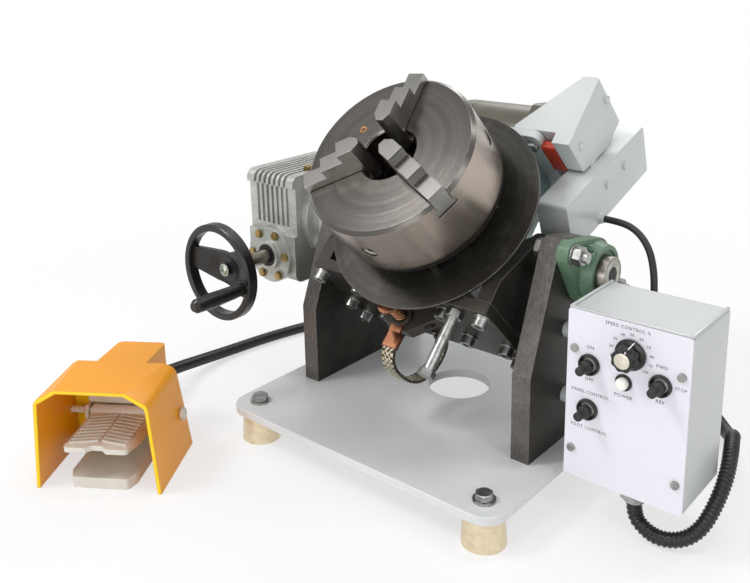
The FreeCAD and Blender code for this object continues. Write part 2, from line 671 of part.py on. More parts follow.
def box_fittings():
    """Panel screws, lamp, potentiometer, toggle bodies with their bushes, and the cable glands."""
    face, back = BOX_FRONT, BOX_FRONT + PANEL_THICK
    solids = []
    for at in PANEL_SCREWS:
        solids.append(rod("y", at, 4.2, (face - 2.4, face)).fuse(rod("y", at, 2, (face, back + 8))))
    lens = turned([(0, face - 8), (3.5, face - 7.5), (5.5, face - 5), (6, face), (5, face),
                   (5, back + 14),
                   (0, back + 14)], "y", LAMP_AT)
    solids.append(lens)
    pot = rod("y", KNOB_AT, 4, (face - 1, back)).fuse(rod("y", KNOB_AT, 12, (back, back + 12)))
    solids.append(pot.cut(rod("y", KNOB_AT, SHAFT_R + RUNNING_FIT, (face - 1, back + 9))))
    for x, z in TOGGLE_PLACES:
        body = block((x - 7, x + 7), (back, back + 20), (z - 11, z + 11))
        bush = rod("y", (x, z), BUSH_R, (face - BUSH_PROUD, back))
        nut = hexagon("y", (x, z), 15, (face - 2.5, face))
        hollow = Part.makeCone(6.5, 3.0, 11, V(x, face - 6, z), AXES["y"])
        solids.append(body.fuse([bush, nut]).cut(hollow))
    gland = rod("z", CONNECTOR_AT, 10, (BOX_BOTTOM - 1, BOX_BOTTOM + BOX_WALL + 8))
    nut = hexagon("z", CONNECTOR_AT, 28, (CONNECTOR_END + 4, BOX_BOTTOM))
    collar = rod("z", CONNECTOR_AT, CONDUIT_R + 3, (CONNECTOR_END, CONNECTOR_END + 4))
    solids.append(gland.fuse([nut, collar]))
    exit_y = BOX_BACK + CABLE_GLAND
    relief = rod("y", CABLE_AT, 6, (BOX_BACK - 6, BOX_BACK)).fuse(rod("y", CABLE_AT, 9,
                                                                      (BOX_BACK, exit_y)))
    solids.append(relief)
    return group(*solids)


def box_bracket():
    """Plate on the box, two spacers, and screws into the right side plate."""
    plate_x = (BOX_LEFT - 4, BOX_LEFT)
    plate = flat("x", oblong((-60, 78), (-18, 198)), plate_x, 6)
    spacers = [rod("x", at, 9, (SIDE_OUTER, plate_x[0])) for at in BRACKET_SCREWS]
    bracket = plate.fuse(spacers)
    screws = []
    for at in BRACKET_SCREWS:
        bracket = bracket.cut(rod("x", at, BRACKET_SCREW_R + HOLE_PLAY, (SIDE_OUTER, BOX_LEFT)))
        screws.append(socket_screw("x", at, BRACKET_SCREW_R, BOX_LEFT + BOX_WALL,
                                   BOX_LEFT + BOX_WALL + 6, SIDE_OUTER - 12))
    return group(bracket, *screws)


def speed_knob():
    face = BOX_FRONT
    knob = turned([(0, face - 2 - KNOB_LENGTH), (KNOB_R - 3, face - 2 - KNOB_LENGTH),
                   (KNOB_R - 2, face - 1 - KNOB_LENGTH), (KNOB_R, face - 5), (KNOB_R + 3, face - 4),
                   (KNOB_R + 3, face - 2), (0, face - 2)], "y", KNOB_AT)
    flutes = [rod("y", at, 1.2, (face - 3 - KNOB_LENGTH, face - 5))
              for at in ring_points(12, KNOB_R + 0.2, 15, KNOB_AT)]
    return knob.cut(flutes).fuse(rod("y", KNOB_AT, SHAFT_R, (face - 2, face + PANEL_THICK + 8)))


def toggle(at):
    """Bat lever in its rubber boot, on a ball and pin inside the bush."""
    x, z = at
    face = BOX_FRONT
    boot = turned([(0, face - 19), (3.0, face - 18), (3.6, face - 11), (6.4, face - 8), (6.8, face - 5.6),
                   (2.2, face - 5.4), (2.2, TOGGLE_PIVOT_Y), (0, TOGGLE_PIVOT_Y)], "y", (0, 0))
    boot.translate(V(x, 0, z))
    pin_r, pin_half = TOGGLE_PIN
    pin = rod("x", (TOGGLE_PIVOT_Y, z), pin_r, (x - pin_half, x + pin_half))
    return boot.fuse([Part.makeSphere(2.6, V(x, TOGGLE_PIVOT_Y, z)), pin])


# Foot pedal, drawn square to the axes and then turned

PEDAL_PIN = (84.0, 52.0)
PEDAL_PIN_R = 4.0
NECK_HALF = 30.0
NECK_END = 157.0
ROOF_FALL = 13.0
PEDAL_BASE_HALF = 37.5
GLAND_LENGTH = 20.0
GLAND_Z = 40.0


def at_pedal(shape):
    copy = shape.copy()
    copy.rotate(V(0, 0, 0), AXES["z"], PEDAL_TURN)
    copy.translate(V(PEDAL_X, PEDAL_Y, 0))
    return copy


def hood_section(inset):
    """Half hexagon that stands on the bench: leaning sides, bevelled shoulders, a flat roof."""
    low = HOOD_HALF - inset
    shoulder = HOOD_HALF - 7 - inset
    roof = HOOD_HALF - 32 - 0.5 * inset
    top = HOOD_HEIGHT - inset
    floor = 0 if inset == 0 else -1
    return [(-low, floor), (-shoulder, top - 14), (-roof, top), (roof, top), (shoulder, top - 14),
            (low, floor)]


def hood_body(inset, neck_inset):
    """Hood and the narrow cover behind it, with the roof falling to the back."""
    corner = max(HOOD_WALL - inset, 0.5) * 1.5
    front = -1 if inset else 0
    main = flat("y", hood_section(inset), (front, HOOD_LENGTH - inset),
                [0, 2 * corner, corner, corner, 2 * corner, 0])
    lean = flat("x", [(HOOD_LENGTH - inset, -2), (HOOD_LENGTH - inset - HOOD_BACK_LEAN, HOOD_HEIGHT + 1),
                      (HOOD_LENGTH + 1, HOOD_HEIGHT + 1), (HOOD_LENGTH + 1, -2)],
                      (-HOOD_HALF - 1, HOOD_HALF + 1))
    main = main.cut(lean)
    neck_top = HOOD_HEIGHT - neck_inset
    half = NECK_HALF - neck_inset
    floor = -1 if neck_inset else 0
    neck = flat("z", oblong((-half, HOOD_LENGTH - 32), (half, NECK_END - neck_inset)), (floor, neck_top),
                [0, 0, 8 - neck_inset, 8 - neck_inset])
    both = main.fuse(neck)
    fall = flat("x", [(-2, HOOD_HEIGHT - neck_inset), (NECK_END + 2,
                                                       HOOD_HEIGHT - ROOF_FALL - neck_inset),
                      (NECK_END + 2, HOOD_HEIGHT + 5), (-2, HOOD_HEIGHT + 5)],
                      (-HOOD_HALF - 1, HOOD_HALF + 1))
    return both.cut(fall)


def pedal_hood():
    hood = hood_body(0, 0).cut(hood_body(HOOD_WALL, HOOD_WALL))
    hood = hood.cut(rod("x", PEDAL_PIN, PEDAL_PIN_R, (-HOOD_HALF, HOOD_HALF)))
    hood = hood.cut(rod("y", (0, GLAND_Z), 9, (NECK_END - HOOD_WALL, NECK_END)))
    return at_pedal(hood)


def pedal_base():
    """Cast base with hinge ears and switch block, the hinge pin with its nuts, and the gland."""
    front = 5.0
    plate = flat("z", [(-PEDAL_BASE_HALF + 6, front), (PEDAL_BASE_HALF - 6, front),
                       (PEDAL_BASE_HALF, front + 14),
                       (PEDAL_BASE_HALF, 68), (46, 74), (46, 94), (NECK_HALF - 6, 97),
                       (NECK_HALF - 6, 150),
                       (-NECK_HALF + 6, 150), (-NECK_HALF + 6, 97), (-46, 94), (-46, 74),
                       (-PEDAL_BASE_HALF, 68), (-PEDAL_BASE_HALF, front + 14)], (0, PEDAL_BASE_THICK),
                 [4, 4, 10, 4, 3, 3, 2, 4, 4, 2, 3, 3, 4, 10])
    block_high = flat("z", oblong((-NECK_HALF + 8, 104), (NECK_HALF - 8, 148)), (PEDAL_BASE_THICK, 84), 4)
    ears = [flat("x", [(76, PEDAL_BASE_THICK), (92, PEDAL_BASE_THICK), (92, 54), (88, 60), (80, 60),
                       (76, 54)],
                 sorted((s * 41, s * 45))) for s in (-1, 1)]
    base = plate.fuse([block_high] + ears)
    base = base.cut(rod("x", PEDAL_PIN, PEDAL_PIN_R, (-46, 46)))
    wall = HOOD_HALF - 7 * PEDAL_PIN[1] / (HOOD_HEIGHT - 14)
    pin = rod("x", PEDAL_PIN, PEDAL_PIN_R, (-wall - 3, wall + 3))
    heads = [hexagon("x", PEDAL_PIN, 13, sorted((s * (wall + 0.6), s * (wall + 6)))) for s in (-1, 1)]
    pin = pin.fuse(heads)
    gland_end = NECK_END + GLAND_LENGTH
    gland = rod("y", (0, GLAND_Z), 9, (149, NECK_END)).fuse(hexagon("y", (0, GLAND_Z), 24,
                                                                    (NECK_END, NECK_END + 12)))
    gland = gland.fuse(rod("y", (0, GLAND_Z), CONDUIT_R + 2.5, (NECK_END + 12, gland_end)))
    return at_pedal(group(base, pin, gland))


def pedal_treadle():
    """Foot plate with chevron ribs and a notch at its front, on a hinge barrel."""
    half = PEDAL_BASE_HALF - 0.5
    top = 52.0
    thick = 6.0
    front, back = 0.0, 77.0
    plate = flat("z", [(-half, front), (-12, front), (-6, front + 6), (6, front + 6), (12, front),
                       (half, front),
                       (half, back), (-half, back)], (top - thick, top), [5, 2, 3, 3, 2, 5, 1, 1])
    skirt = [flat("x", [(front + 8, top - thick), (back, top - thick), (back, top - 18),
                        (front + 30, top - 12)],
                  sorted((s * (half - 4), s * half))) for s in (-1, 1)]
    ribs = []
    pitch = 7.0
    for i in range(9):
        v0 = front + 12 + i * pitch
        for sign in (-1, 1):
            rib = flat("z", [(sign * 2, v0 + 3), (sign * 2, v0 + 6), (sign * (half - 4), v0 - 1),
                             (sign * (half - 4), v0 - 4)],
                       (top, top + 2))
            ribs.append(rib)
    barrel = rod("x", PEDAL_PIN, PEDAL_PIN_R + 4, (-half, half))
    link = flat("x", [(back - 4, top - thick), (PEDAL_PIN[0], PEDAL_PIN[1] - 6),
                      (PEDAL_PIN[0], PEDAL_PIN[1] + 6),
                      (back - 4, top)], (-half, half))
    treadle = plate.fuse(skirt + ribs + [barrel, link])
    treadle = treadle.cut(rod("x", PEDAL_PIN, PEDAL_PIN_R + RUNNING_FIT, (-half, half)))
    return at_pedal(treadle)


# Cords: straight runs joined by arcs


def cord_path(route):
    """Straight runs with an arc at each point of the route, and the tightest arc's radius."""
    places = [V(*p) for p in route]
    edges = []
    radii = []
    start = places[0]
    for i in range(1, len(places) - 1):
        back, ahead = places[i - 1] - places[i], places[i + 1] - places[i]
        reach = 0.45 * min(back.Length, ahead.Length)
        back.normalize()
        ahead.normalize()
        bend = reach * math.tan(back.getAngle(ahead) / 2)
        radii.append(bend)
        first, last = places[i] + back * reach, places[i] + ahead * reach
        inward = (back + ahead).normalize()
        middle = places[i] + inward * (math.hypot(reach, bend) - bend)
        edges.append(Part.LineSegment(start, first).toShape())
        edges.append(Part.Arc(first, middle, last).toShape())
        start = last
    edges.append(Part.LineSegment(start, places[-1]).toShape())
    return Part.Wire(edges), radii


def cord_tube(name, route, radius):
    """A round tube along a route."""
    path, radii = cord_path(route)
    heading = (V(*route[1]) - V(*route[0])).normalize()
    section = Part.Wire(Part.makeCircle(radius, V(*route[0]), heading))
    solid = path.makePipeShell([section], True, False)
    share = solid.Volume / (math.pi * radius ** 2 * path.Length)
    print(name, "length", round(path.Length, 1), "radii", [round(r) for r in radii], "volume",
          round(share, 3))
    return solid


def pedal_point(v, z):
    """A point on the pedal's middle line."""
    turn = math.radians(PEDAL_TURN)
    return (PEDAL_X - v * math.sin(turn), PEDAL_Y + v * math.cos(turn), z)


CONDUIT_ROUTE = [
    (CONNECTOR_AT[0], CONNECTOR_AT[1], CONNECTOR_END), (271, -81, 20), (286, -83, 9.5), (303, -86, 9),
    (326, -83, 13), (344, -70, 27), (353, -47, 50), (351, -18, 73), (341, 17, 83), (325, 53, 70),
    (307, 92, 41), (286, 138, 16), (255, 184, 8.5), (206, 228, 8.5), (143, 262, 8.5), (66, 281, 8.5),
    (-16, 284, 8.5), (-101, 273, 8.5), (-184, 246, 8.5), (-257, 202, 8.5), (-310, 140, 8.5),
    (-340, 68, 8.5),
    (-358, -5, 8.5), (-365, -60, 9), (-362, -110, 15), (-352, -152, 24), (-341, -184, 32),
    pedal_point(NECK_END + GLAND_LENGTH + 28, GLAND_Z), pedal_point(NECK_END + GLAND_LENGTH, GLAND_Z)]


def flex_conduit():
    return cord_tube("flex_conduit", CONDUIT_ROUTE, CONDUIT_R)


CABLE_EXIT = (SIDE_INNER - 1.0, 93.1, 263.5)
CABLE_ROUTE = [CABLE_EXIT, (163, CABLE_EXIT[1], CABLE_EXIT[2]), (184, 89, 257.5), (202, 80, 244),
               (213, 70, 225), (219, 61, 204), (222, 54, 184), (222, 43, 166), (222, 22.7, CABLE_AT[1]),
               (CABLE_AT[0], BOX_BACK + CABLE_GLAND, CABLE_AT[1])]


def motor_cable():
    return cord_tube("motor_cable", CABLE_ROUTE, CABLE_R)


# Cradle, drawn with the spindle upright

CRADLE_FRONT = -CRADLE_OUT
CRADLE_SEAT = -CRADLE_OUT + CRADLE_THICK
ARM_SCREWS = [(s * (ARM_INNER + ARM_THICK / 2), z) for s in (-1, 1) for z in (62.0, -11.0, -46.0)]
REDUCER_SCREWS = [(s * 60.0, z) for s in (-1, 1) for z in (53.0, -15.0)]


def arm(sign):
    """Thick plate from the cradle plate up to a round boss on the tilt axis."""
    span = sorted((sign * ARM_INNER, sign * ARM_OUTER_X))
    plate = flat("x", [(CRADLE_SEAT, ARM_TOP), (-66, ARM_TOP), (0, 40), (18, 19), (0, -ARM_BOSS_R + 1),
                       (CRADLE_SEAT, CRADLE_LOW)], span, [0, 4, 12, 8, 10, 0])
    plate = plate.fuse(rod("x", (0, 0), ARM_BOSS_R, span))
    plate = plate.cut(rod("x", (0, 0), TRUNNION_R if sign < 0 else BEARING_SHAFT_R, span))
    for x, z in ARM_SCREWS:
        if x * sign > 0:
            plate = plate.cut(rod("y", (x, z), CRADLE_SCREW_R, (CRADLE_SEAT, CRADLE_SEAT + 22)))
    return plate


def cradle_plate():
    plate = flat("y", oblong((-ARM_OUTER_X, CRADLE_LOW), (ARM_OUTER_X, ARM_TOP)),
                 (CRADLE_FRONT, CRADLE_SEAT), 2)
    for at in ARM_SCREWS + REDUCER_SCREWS:
        plate = plate.cut(rod("y", at, CRADLE_SCREW_R + HOLE_PLAY, (CRADLE_FRONT, CRADLE_SEAT)))
    plate = plate.cut(rod("y", (GROUND_BOLT_X, GROUND_BOLT_UP), GROUND_BOLT_R,
                          (CRADLE_FRONT, CRADLE_SEAT)))
    for at in HOLDER_SCREWS:
        plate = plate.cut(rod("y", at, 3, (CRADLE_FRONT, CRADLE_SEAT)))
    return plate


def cradle_screws():
    """Cap screws on washers under the cradle plate."""
    solids = []
    washer = CRADLE_FRONT - 2
    for at in ARM_SCREWS + REDUCER_SCREWS:
        solids.append(tube("y", at, 9, CRADLE_SCREW_R + 0.25, (washer, CRADLE_FRONT)))
        solids.append(socket_screw("y", at, CRADLE_SCREW_R, washer, washer - 10, CRADLE_SEAT + 20))
    return group(*solids)


# Spindle drive: reducer, motor, belt, guards

DRIVE_AT = (INPUT_BACK, INPUT_LOW)
MOTOR_AT = (MOTOR_BACK, MOTOR_LOW)
MOTOR_LEFT = -117.0
MOTOR_SEAM = -89.0
GEARHEAD_LEFT = 3.0
GEARHEAD_RIGHT = 90.0
SPINDLE_WORM_R = 14.0
SPINDLE_WHEEL_R = INPUT_BACK - SPINDLE_WORM_R - MESH_GAP
SPINDLE_WHEEL_WIDTH = 28.0
SPINDLE_TEETH = 40
SPINDLE_FLANGE_R = 60.0
SPINDLE_FLANGE_THICK = 9.0
MOTOR_PLATE_BACK = REDUCER_BACK + MOTOR_PLATE_THICK
PLATE_BOLTS = [(-46.0, 12.0), (-46.0, -28.0), (-8.0, 12.0), (24.0, 8.0)]
MOTOR_BOLTS = [(20.0, -88.0), (66.0, -88.0)]
COVER_BOLT = (67.0, 44.0)
PULLEY_X = (104.0, 104.0 + BELT_WIDTH + 6)


def reducer_housing():
    """Cast housing: a drum round the spindle, a foot on the cradle plate, a block over the worm."""
    drum = rod("z", (0, 0), REDUCER_HALF, (REDUCER_LOW, REDUCER_TOP))
    drum = drum.makeChamfer(4, [e for e in drum.Edges if e.Closed])
    foot = flat("z", [(-REDUCER_HALF, CRADLE_SEAT), (REDUCER_HALF, CRADLE_SEAT),
                      (REDUCER_HALF, CRADLE_SEAT + 16),
                      (62, -40), (-62, -40), (-REDUCER_HALF, CRADLE_SEAT + 16)],
                      (REDUCER_LOW + 12, REDUCER_TOP),
                [2, 2, 4, 4, 4, 4])
    low, high = INPUT_LOW - 34, INPUT_LOW + 34
    case = flat("x", oblong((30, low), (REDUCER_BACK, high)), (-58, 58), 8)
    pads = [block((x - 15, x + 15), (REDUCER_BACK - 26, REDUCER_BACK), (z - 13, z + 13)) for x,
            z in PLATE_BOLTS]
    ribs = [block((-58, 58), (36, REDUCER_BACK - 4), (INPUT_LOW - 40, REDUCER_TOP - 8))]
    side = [rod("x", DRIVE_AT, 27, (-68, 68)), rod("x", (2, 28), 17, (0, REDUCER_HALF))]
    collar = rod("z", (0, 0), 62, (REDUCER_TOP, DISC_LOW - SPINDLE_FLANGE_THICK - 1))
    body = drum.fuse([foot, case, collar] + pads + ribs + side)
    half = SPINDLE_WHEEL_WIDTH / 2 + 4
    body = body.cut(rod("z", (0, 0), SPINDLE_WHEEL_R + 3, (INPUT_LOW - half, INPUT_LOW + half)))
    body = body.cut(rod("z", (0, 0), SPINDLE_R + RUNNING_FIT, (REDUCER_LOW - 1, DISC_LOW)))
    body = body.cut(rod("x", DRIVE_AT, SPINDLE_WORM_R + 4, (-46, 46)))
    body = body.cut(rod("x", DRIVE_AT, DRIVE_SHAFT_R + RUNNING_FIT, (-58, 70)))
    for at in REDUCER_SCREWS:
        body = body.cut(rod("y", at, CRADLE_SCREW_R, (CRADLE_SEAT, CRADLE_SEAT + 21)))
    for at in PLATE_BOLTS:
        body = body.cut(rod("y", at, 4, (REDUCER_BACK - 20, REDUCER_BACK)))
    plug = hexagon("x", (2, 28), 17, (REDUCER_HALF, REDUCER_HALF + 6))
    return group(body, plug)


def motor_plate():
    points = oblong((-79, MOTOR_LOW - 42), (79, 62))
    plate = flat("y", points, (REDUCER_BACK, MOTOR_PLATE_BACK), [3, 3, 10, 10])
    for at in PLATE_BOLTS + MOTOR_BOLTS + [COVER_BOLT]:
        plate = plate.cut(rod("y", at, 4 + HOLE_PLAY, (REDUCER_BACK, MOTOR_PLATE_BACK)))
    return plate


def motor():
    """Finned motor barrel, round nosed cap with its seam, and two saddles on the plate."""
    nose = MOTOR_LEFT
    barrel = turned([(0, MOTOR_SEAM + 1), (MOTOR_R, MOTOR_SEAM + 1), (MOTOR_R, GEARHEAD_LEFT - 4),
                     (MOTOR_R + 0.8, GEARHEAD_LEFT - 4), (MOTOR_R + 0.8, GEARHEAD_LEFT),
                     (0, GEARHEAD_LEFT)],
                    "x", MOTOR_AT)
    cap = turned([(0, nose), (MOTOR_R - 14, nose), (MOTOR_R - 5, nose + 2), (MOTOR_R - 1, nose + 8),
                  (MOTOR_R, nose + 14), (MOTOR_R, MOTOR_SEAM), (MOTOR_R - 1.5, MOTOR_SEAM),
                  (MOTOR_R - 1.5, MOTOR_SEAM + 1), (0, MOTOR_SEAM + 1)], "x", MOTOR_AT)
    saddles = []
    for x in (-70, -20):
        saddle = block((x - 8, x + 8), (MOTOR_PLATE_BACK, MOTOR_BACK), (MOTOR_LOW - 30, MOTOR_LOW + 30))
        saddles.append(saddle.cut(rod("x", MOTOR_AT, MOTOR_R, (x - 9, x + 9))))
    body = barrel.fuse(cap)
    return group(body, *saddles)


def motor_gearhead():
    """Cast gear case between the motor and the belt, with a lifting eye on top."""
    y, z = MOTOR_AT
    outline_points = [(MOTOR_PLATE_BACK, z - 40), (MOTOR_PLATE_BACK, z + 40), (y - 34, z + 54),
                      (y + 30, z + 54),
                      (y + 52, z + 28), (y + 52, z - 28), (y + 30, z - 52), (y - 34, z - 52)]
    case = flat("x", outline_points, (GEARHEAD_LEFT, GEARHEAD_RIGHT), [2, 2, 10, 14, 14, 14, 14, 10])
    waist = flat("x", [(y - 30, z - 60), (y + 60, z - 60), (y + 60, z + 60), (y - 30, z + 60)], (38, 54))
    core = rod("x", MOTOR_AT, 47, (38, 54)).fuse(block((38, 54), (MOTOR_PLATE_BACK, y), (z - 38, z + 38)))
    case = case.cut(waist.cut(core))
    nose = rod("x", MOTOR_AT, 24, (GEARHEAD_RIGHT, GUARD_INNER_X - SLIDE_GAP))
    eye_base = rod("z", (24, y), 7, (z + 52, z + 58))
    eye = Part.makeTorus(7, 2.6, V(24, y, z + 66), AXES["y"])
    case = case.fuse([nose, eye_base])
    case = case.cut(rod("x", MOTOR_AT, 7 + RUNNING_FIT, (40, GUARD_INNER_X)))
    for at in MOTOR_BOLTS:
        case = case.cut(rod("y", at, 4, (MOTOR_PLATE_BACK, MOTOR_PLATE_BACK + 12)))
    return case.fuse(eye)


def pulley(at, shaft_r, shaft_span, worm=False):
    """Toothed pulley with two flanges on its shaft, and on the reducer's shaft a worm."""
    x0, x1 = PULLEY_X
    wheel = turned([(0, x0), (PULLEY_R + 4, x0), (PULLEY_R + 4, x0 + 1.5), (PULLEY_R, x0 + 2),
                    (PULLEY_R, x1 - 2),
                    (PULLEY_R + 4, x1 - 1.5), (PULLEY_R + 4, x1), (0, x1)], "x", (0, 0))
    teeth = 20
    notches = [rod("x", p, 1.6, (x0 + 2, x1 - 2)) for p in ring_points(teeth, PULLEY_R + 0.4)]
    wheel = wheel.cut(notches)
    wheel = wheel.fuse(rod("x", (0, 0), shaft_r, shaft_span))
    if worm:
        thread = rod("x", (0, 0), SPINDLE_WORM_R, (-40, 40))
        pitch = 9.0
        grooves = [turned([(SPINDLE_WORM_R + 0.5, m - 3), (SPINDLE_WORM_R - 2.5, m - 1.2),
                           (SPINDLE_WORM_R - 2.5, m + 1.2), (SPINDLE_WORM_R + 0.5, m + 3)], "x")
                   for m in [-36 + i * pitch for i in range(9)]]
        wheel = wheel.fuse(thread.cut(grooves))
    wheel.translate(V(0, at[0], at[1]))
    return wheel


def drive_belt():
    """Belt round both pulleys."""
    span = (PULLEY_X[0] + 3, PULLEY_X[0] + 3 + BELT_WIDTH)
    return loop_plate(PULLEY_R + SLIDE_GAP + BELT_THICK, span).cut(loop_plate(PULLEY_R + SLIDE_GAP, span))


def loop_plate(radius, span):
    """A slab with round ends centred on the two pulley shafts."""
    dy, dz = MOTOR_AT[0] - DRIVE_AT[0], MOTOR_AT[1] - DRIVE_AT[1]
    reach = math.hypot(dy, dz)
    side = (-dz / reach * radius, dy / reach * radius)
    corners = [(p[0] + s * side[0], p[1] + s * side[1])
               for p, s in ((DRIVE_AT, 1), (MOTOR_AT, 1), (MOTOR_AT, -1), (DRIVE_AT, -1))]
    ends = [rod("x", at, radius, span) for at in (DRIVE_AT, MOTOR_AT)]
    return flat("x", corners, span).fuse(ends)


GUARD_LENGTH = 196.0
GUARD_WIDTH = 62.0
GUARD_START = (51.0, 36.0)
GUARD_LEAN = math.radians(-26.97)


def guard_point(along, across):
    """A point of the lower guard: along it from its front corner, and across it downwards."""
    c, s = math.cos(GUARD_LEAN), math.sin(GUARD_LEAN)
    return (GUARD_START[0] + along * c + across * s, GUARD_START[1] + along * s - across * c)


def guard_outline(inset):
    return [guard_point(inset, inset), guard_point(GUARD_LENGTH - inset, inset),
            guard_point(GUARD_LENGTH - inset, GUARD_WIDTH - inset),
            guard_point(inset, GUARD_WIDTH - inset)]


CABLE_BUSH_AT = guard_point(68.5, 55.0)
LOWER_GUARD_SCREWS = [guard_point(93.5, 24.0), guard_point(139.0, 24.0)]


def belt_guard_lower():
    """Sheet cover over the belt, its back plate with spacers to the gear case, and a cable bush."""
    cover = flat("x", guard_outline(0), (GUARD_INNER_X, GUARD_OUTER_X), 4)
    inner = flat("x", guard_outline(GUARD_WALL), (GUARD_INNER_X - 1, GUARD_OUTER_X - GUARD_WALL), 2.4)
    cover = cover.cut(inner)
    back = flat("x", guard_outline(GUARD_WALL), (GUARD_INNER_X, GUARD_INNER_X + 3), 2.4)
    back = back.cut([rod("x", DRIVE_AT, DRIVE_SHAFT_R + 2, (GUARD_INNER_X, GUARD_INNER_X + 3)),
                     rod("x", MOTOR_AT, 9, (GUARD_INNER_X, GUARD_INNER_X + 3))])
    posts = []
    for at in LOWER_GUARD_SCREWS:
        post = rod("x", at, 4, (GUARD_OUTER_X - GUARD_WALL - 6, GUARD_OUTER_X - GUARD_WALL))
        posts.append(post)
        posts.append(rod("x", at, 5, (GUARD_OUTER_X, GUARD_OUTER_X + 2.6)))
    y, z = MOTOR_AT
    spacers = [rod("x", (y + dy, z + dz), 5, (GEARHEAD_RIGHT, GUARD_INNER_X)) for dy,
               dz in ((-30, 12), (16, -30))]
    bush = taper("x", CABLE_BUSH_AT, 8, CABLE_R + 1.5, (GUARD_OUTER_X, SIDE_INNER - 1.0))
    return group(cover, back, bush, *(posts + spacers))


UPPER_GUARD_TOP = 60.0
UPPER_GUARD_X = 120.0
UPPER_GUARD_LOW = -21.0
UPPER_GUARD_SCREWS = [(204.0, 28.0), (131.0, 36.0)]


def belt_guard_upper():
    """Sheet cover above the gear case, with a slanted left wall, resting on the lower guard."""
    back_y = MOTOR_BACK + 28.5
    front_y = REDUCER_BACK - 3
    plate_y = MOTOR_PLATE_BACK + 1
    points = [(UPPER_GUARD_X, front_y), (UPPER_GUARD_X, back_y), (100, back_y), (39, plate_y),
              (GUARD_INNER_X + 0.5, plate_y), (GUARD_INNER_X + 0.5, front_y)]
    span = (UPPER_GUARD_LOW, UPPER_GUARD_TOP)
    shell = flat("z", points, span, [1.5, 3, 3, 3, 1, 1])
    inner_wire = outline("z", span[0], points).makeOffset2D(-GUARD_WALL, 2)
    inner = Part.Face(inner_wire).extrude(V(0, 0, span[1] - span[0] - GUARD_WALL))
    shell = shell.cut(inner)
    above = 3.0
    under = flat("x", [guard_point(-60, -above), guard_point(GUARD_LENGTH + 60, -above),
                       guard_point(GUARD_LENGTH + 60, 130), guard_point(-60, 130)],
                       (0, UPPER_GUARD_X + 1))
    shell = shell.cut(under)
    head_top = MOTOR_LOW + 54 + 2
    shell = shell.cut(block((0, GUARD_INNER_X), (plate_y - 2, back_y + 2), (UPPER_GUARD_LOW, head_top)))
    feet_points = [guard_point(88, -above), guard_point(100, -above), guard_point(100, 0),
                   guard_point(88, 0)]
    foot = flat("x", feet_points, (GUARD_INNER_X + 1, UPPER_GUARD_X))
    leg = block((68, 82), (150, 162), (head_top - 2, UPPER_GUARD_TOP - GUARD_WALL))
    screws = [rod("x", at, 5, (UPPER_GUARD_X, UPPER_GUARD_X + 2.6)) for at in UPPER_GUARD_SCREWS]
    return group(shell, foot, leg, *screws)


def drive_screws():
    """Hex bolts through the motor plate into the reducer and the gear case."""
    solids = []
    for at in PLATE_BOLTS:
        solids.append(hex_bolt("y", at, 4, MOTOR_PLATE_BACK, MOTOR_PLATE_BACK + 5.5, REDUCER_BACK - 18))
    for at in MOTOR_BOLTS:
        solids.append(hex_bolt("y", at, 4, REDUCER_BACK, REDUCER_BACK - 5.5, MOTOR_PLATE_BACK + 11))
    solids.append(hex_bolt("y", COVER_BOLT, 4, REDUCER_BACK, REDUCER_BACK - 5.5, MOTOR_PLATE_BACK))
    return group(*solids)


def tension_block():
    """Painted stop beside the motor plate, rounded at its lower corner."""
    return flat("x", [(REDUCER_BACK - 3, -2), (REDUCER_BACK + 7, -2), (REDUCER_BACK + 7, 47),
                      (REDUCER_BACK - 3, 47)],
                (79, GUARD_INNER_X - 1), [4, 1, 1, 3])


# Ground bolt, ground brush and strap

HOLDER_LOW = 18.0
HOLDER_TOP = 34.0
HOLDER_SCREWS = [(34.0, 26.0), (-15.0, 26.0)]
BRUSH_AT = (0.0, -BRUSH_OUT)
LUG_THICK = 2.5
REST_WASHER = (HOLDER_TOP + LUG_THICK, HOLDER_TOP + LUG_THICK + 2)
PRESS_WASHER = (68.0, 70.0)
SPRING_WELL_R = BRUSH_SPRING_R + 0.5
GROUND_BOLT_END = 183.0


def ground_bolt():
    """Long hex bolt screwed into the cradle plate, with its jam nut."""
    at = (GROUND_BOLT_X, GROUND_BOLT_UP)
    shank = rod("y", at, GROUND_BOLT_R, (-GROUND_BOLT_END + 8, CRADLE_SEAT))
    head = hexagon("y", at, 17, (-GROUND_BOLT_END, -GROUND_BOLT_END + 8), 30)
    nut = hexagon("y", at, 17, (CRADLE_FRONT - 9, CRADLE_FRONT), 30)
    return group(shank.fuse(head), nut.cut(rod("y", at, GROUND_BOLT_R, (CRADLE_FRONT - 10,
                                                                        CRADLE_FRONT))))


def brush_holder():
    """Bracket on the cradle plate with the brush hole, its screws, and the washer the spring rests on."""
    edge = CRADLE_FRONT
    tip = -BRUSH_OUT - 15
    block_ = flat("z", [(-22, edge), (45, edge), (45, edge - 6), (14, tip), (-14, tip), (-22, tip + 8)],
                  (HOLDER_LOW, HOLDER_TOP), [1, 1, 2, 3, 5, 3])
    block_ = block_.cut(rod("z", BRUSH_AT, BRUSH_ROD_R + RUNNING_FIT, (HOLDER_LOW, HOLDER_TOP)))
    block_ = block_.cut(rod("z", BRUSH_AT, SPRING_WELL_R, (HOLDER_TOP - 2, HOLDER_TOP)))
    screws = []
    for x, z in HOLDER_SCREWS:
        seat = edge - 5
        block_ = block_.cut(rod("y", (x, z), 3.3, (tip - 1, edge)))
        block_ = block_.cut(rod("y", (x, z), 5.4, (tip - 1, seat)))
        screws.append(socket_screw("y", (x, z), 3, seat, seat - 5, CRADLE_SEAT - 2))
    washer = tube("z", BRUSH_AT, BRUSH_WASHER_R, SPRING_WELL_R, REST_WASHER)
    return group(block_, washer, *screws)


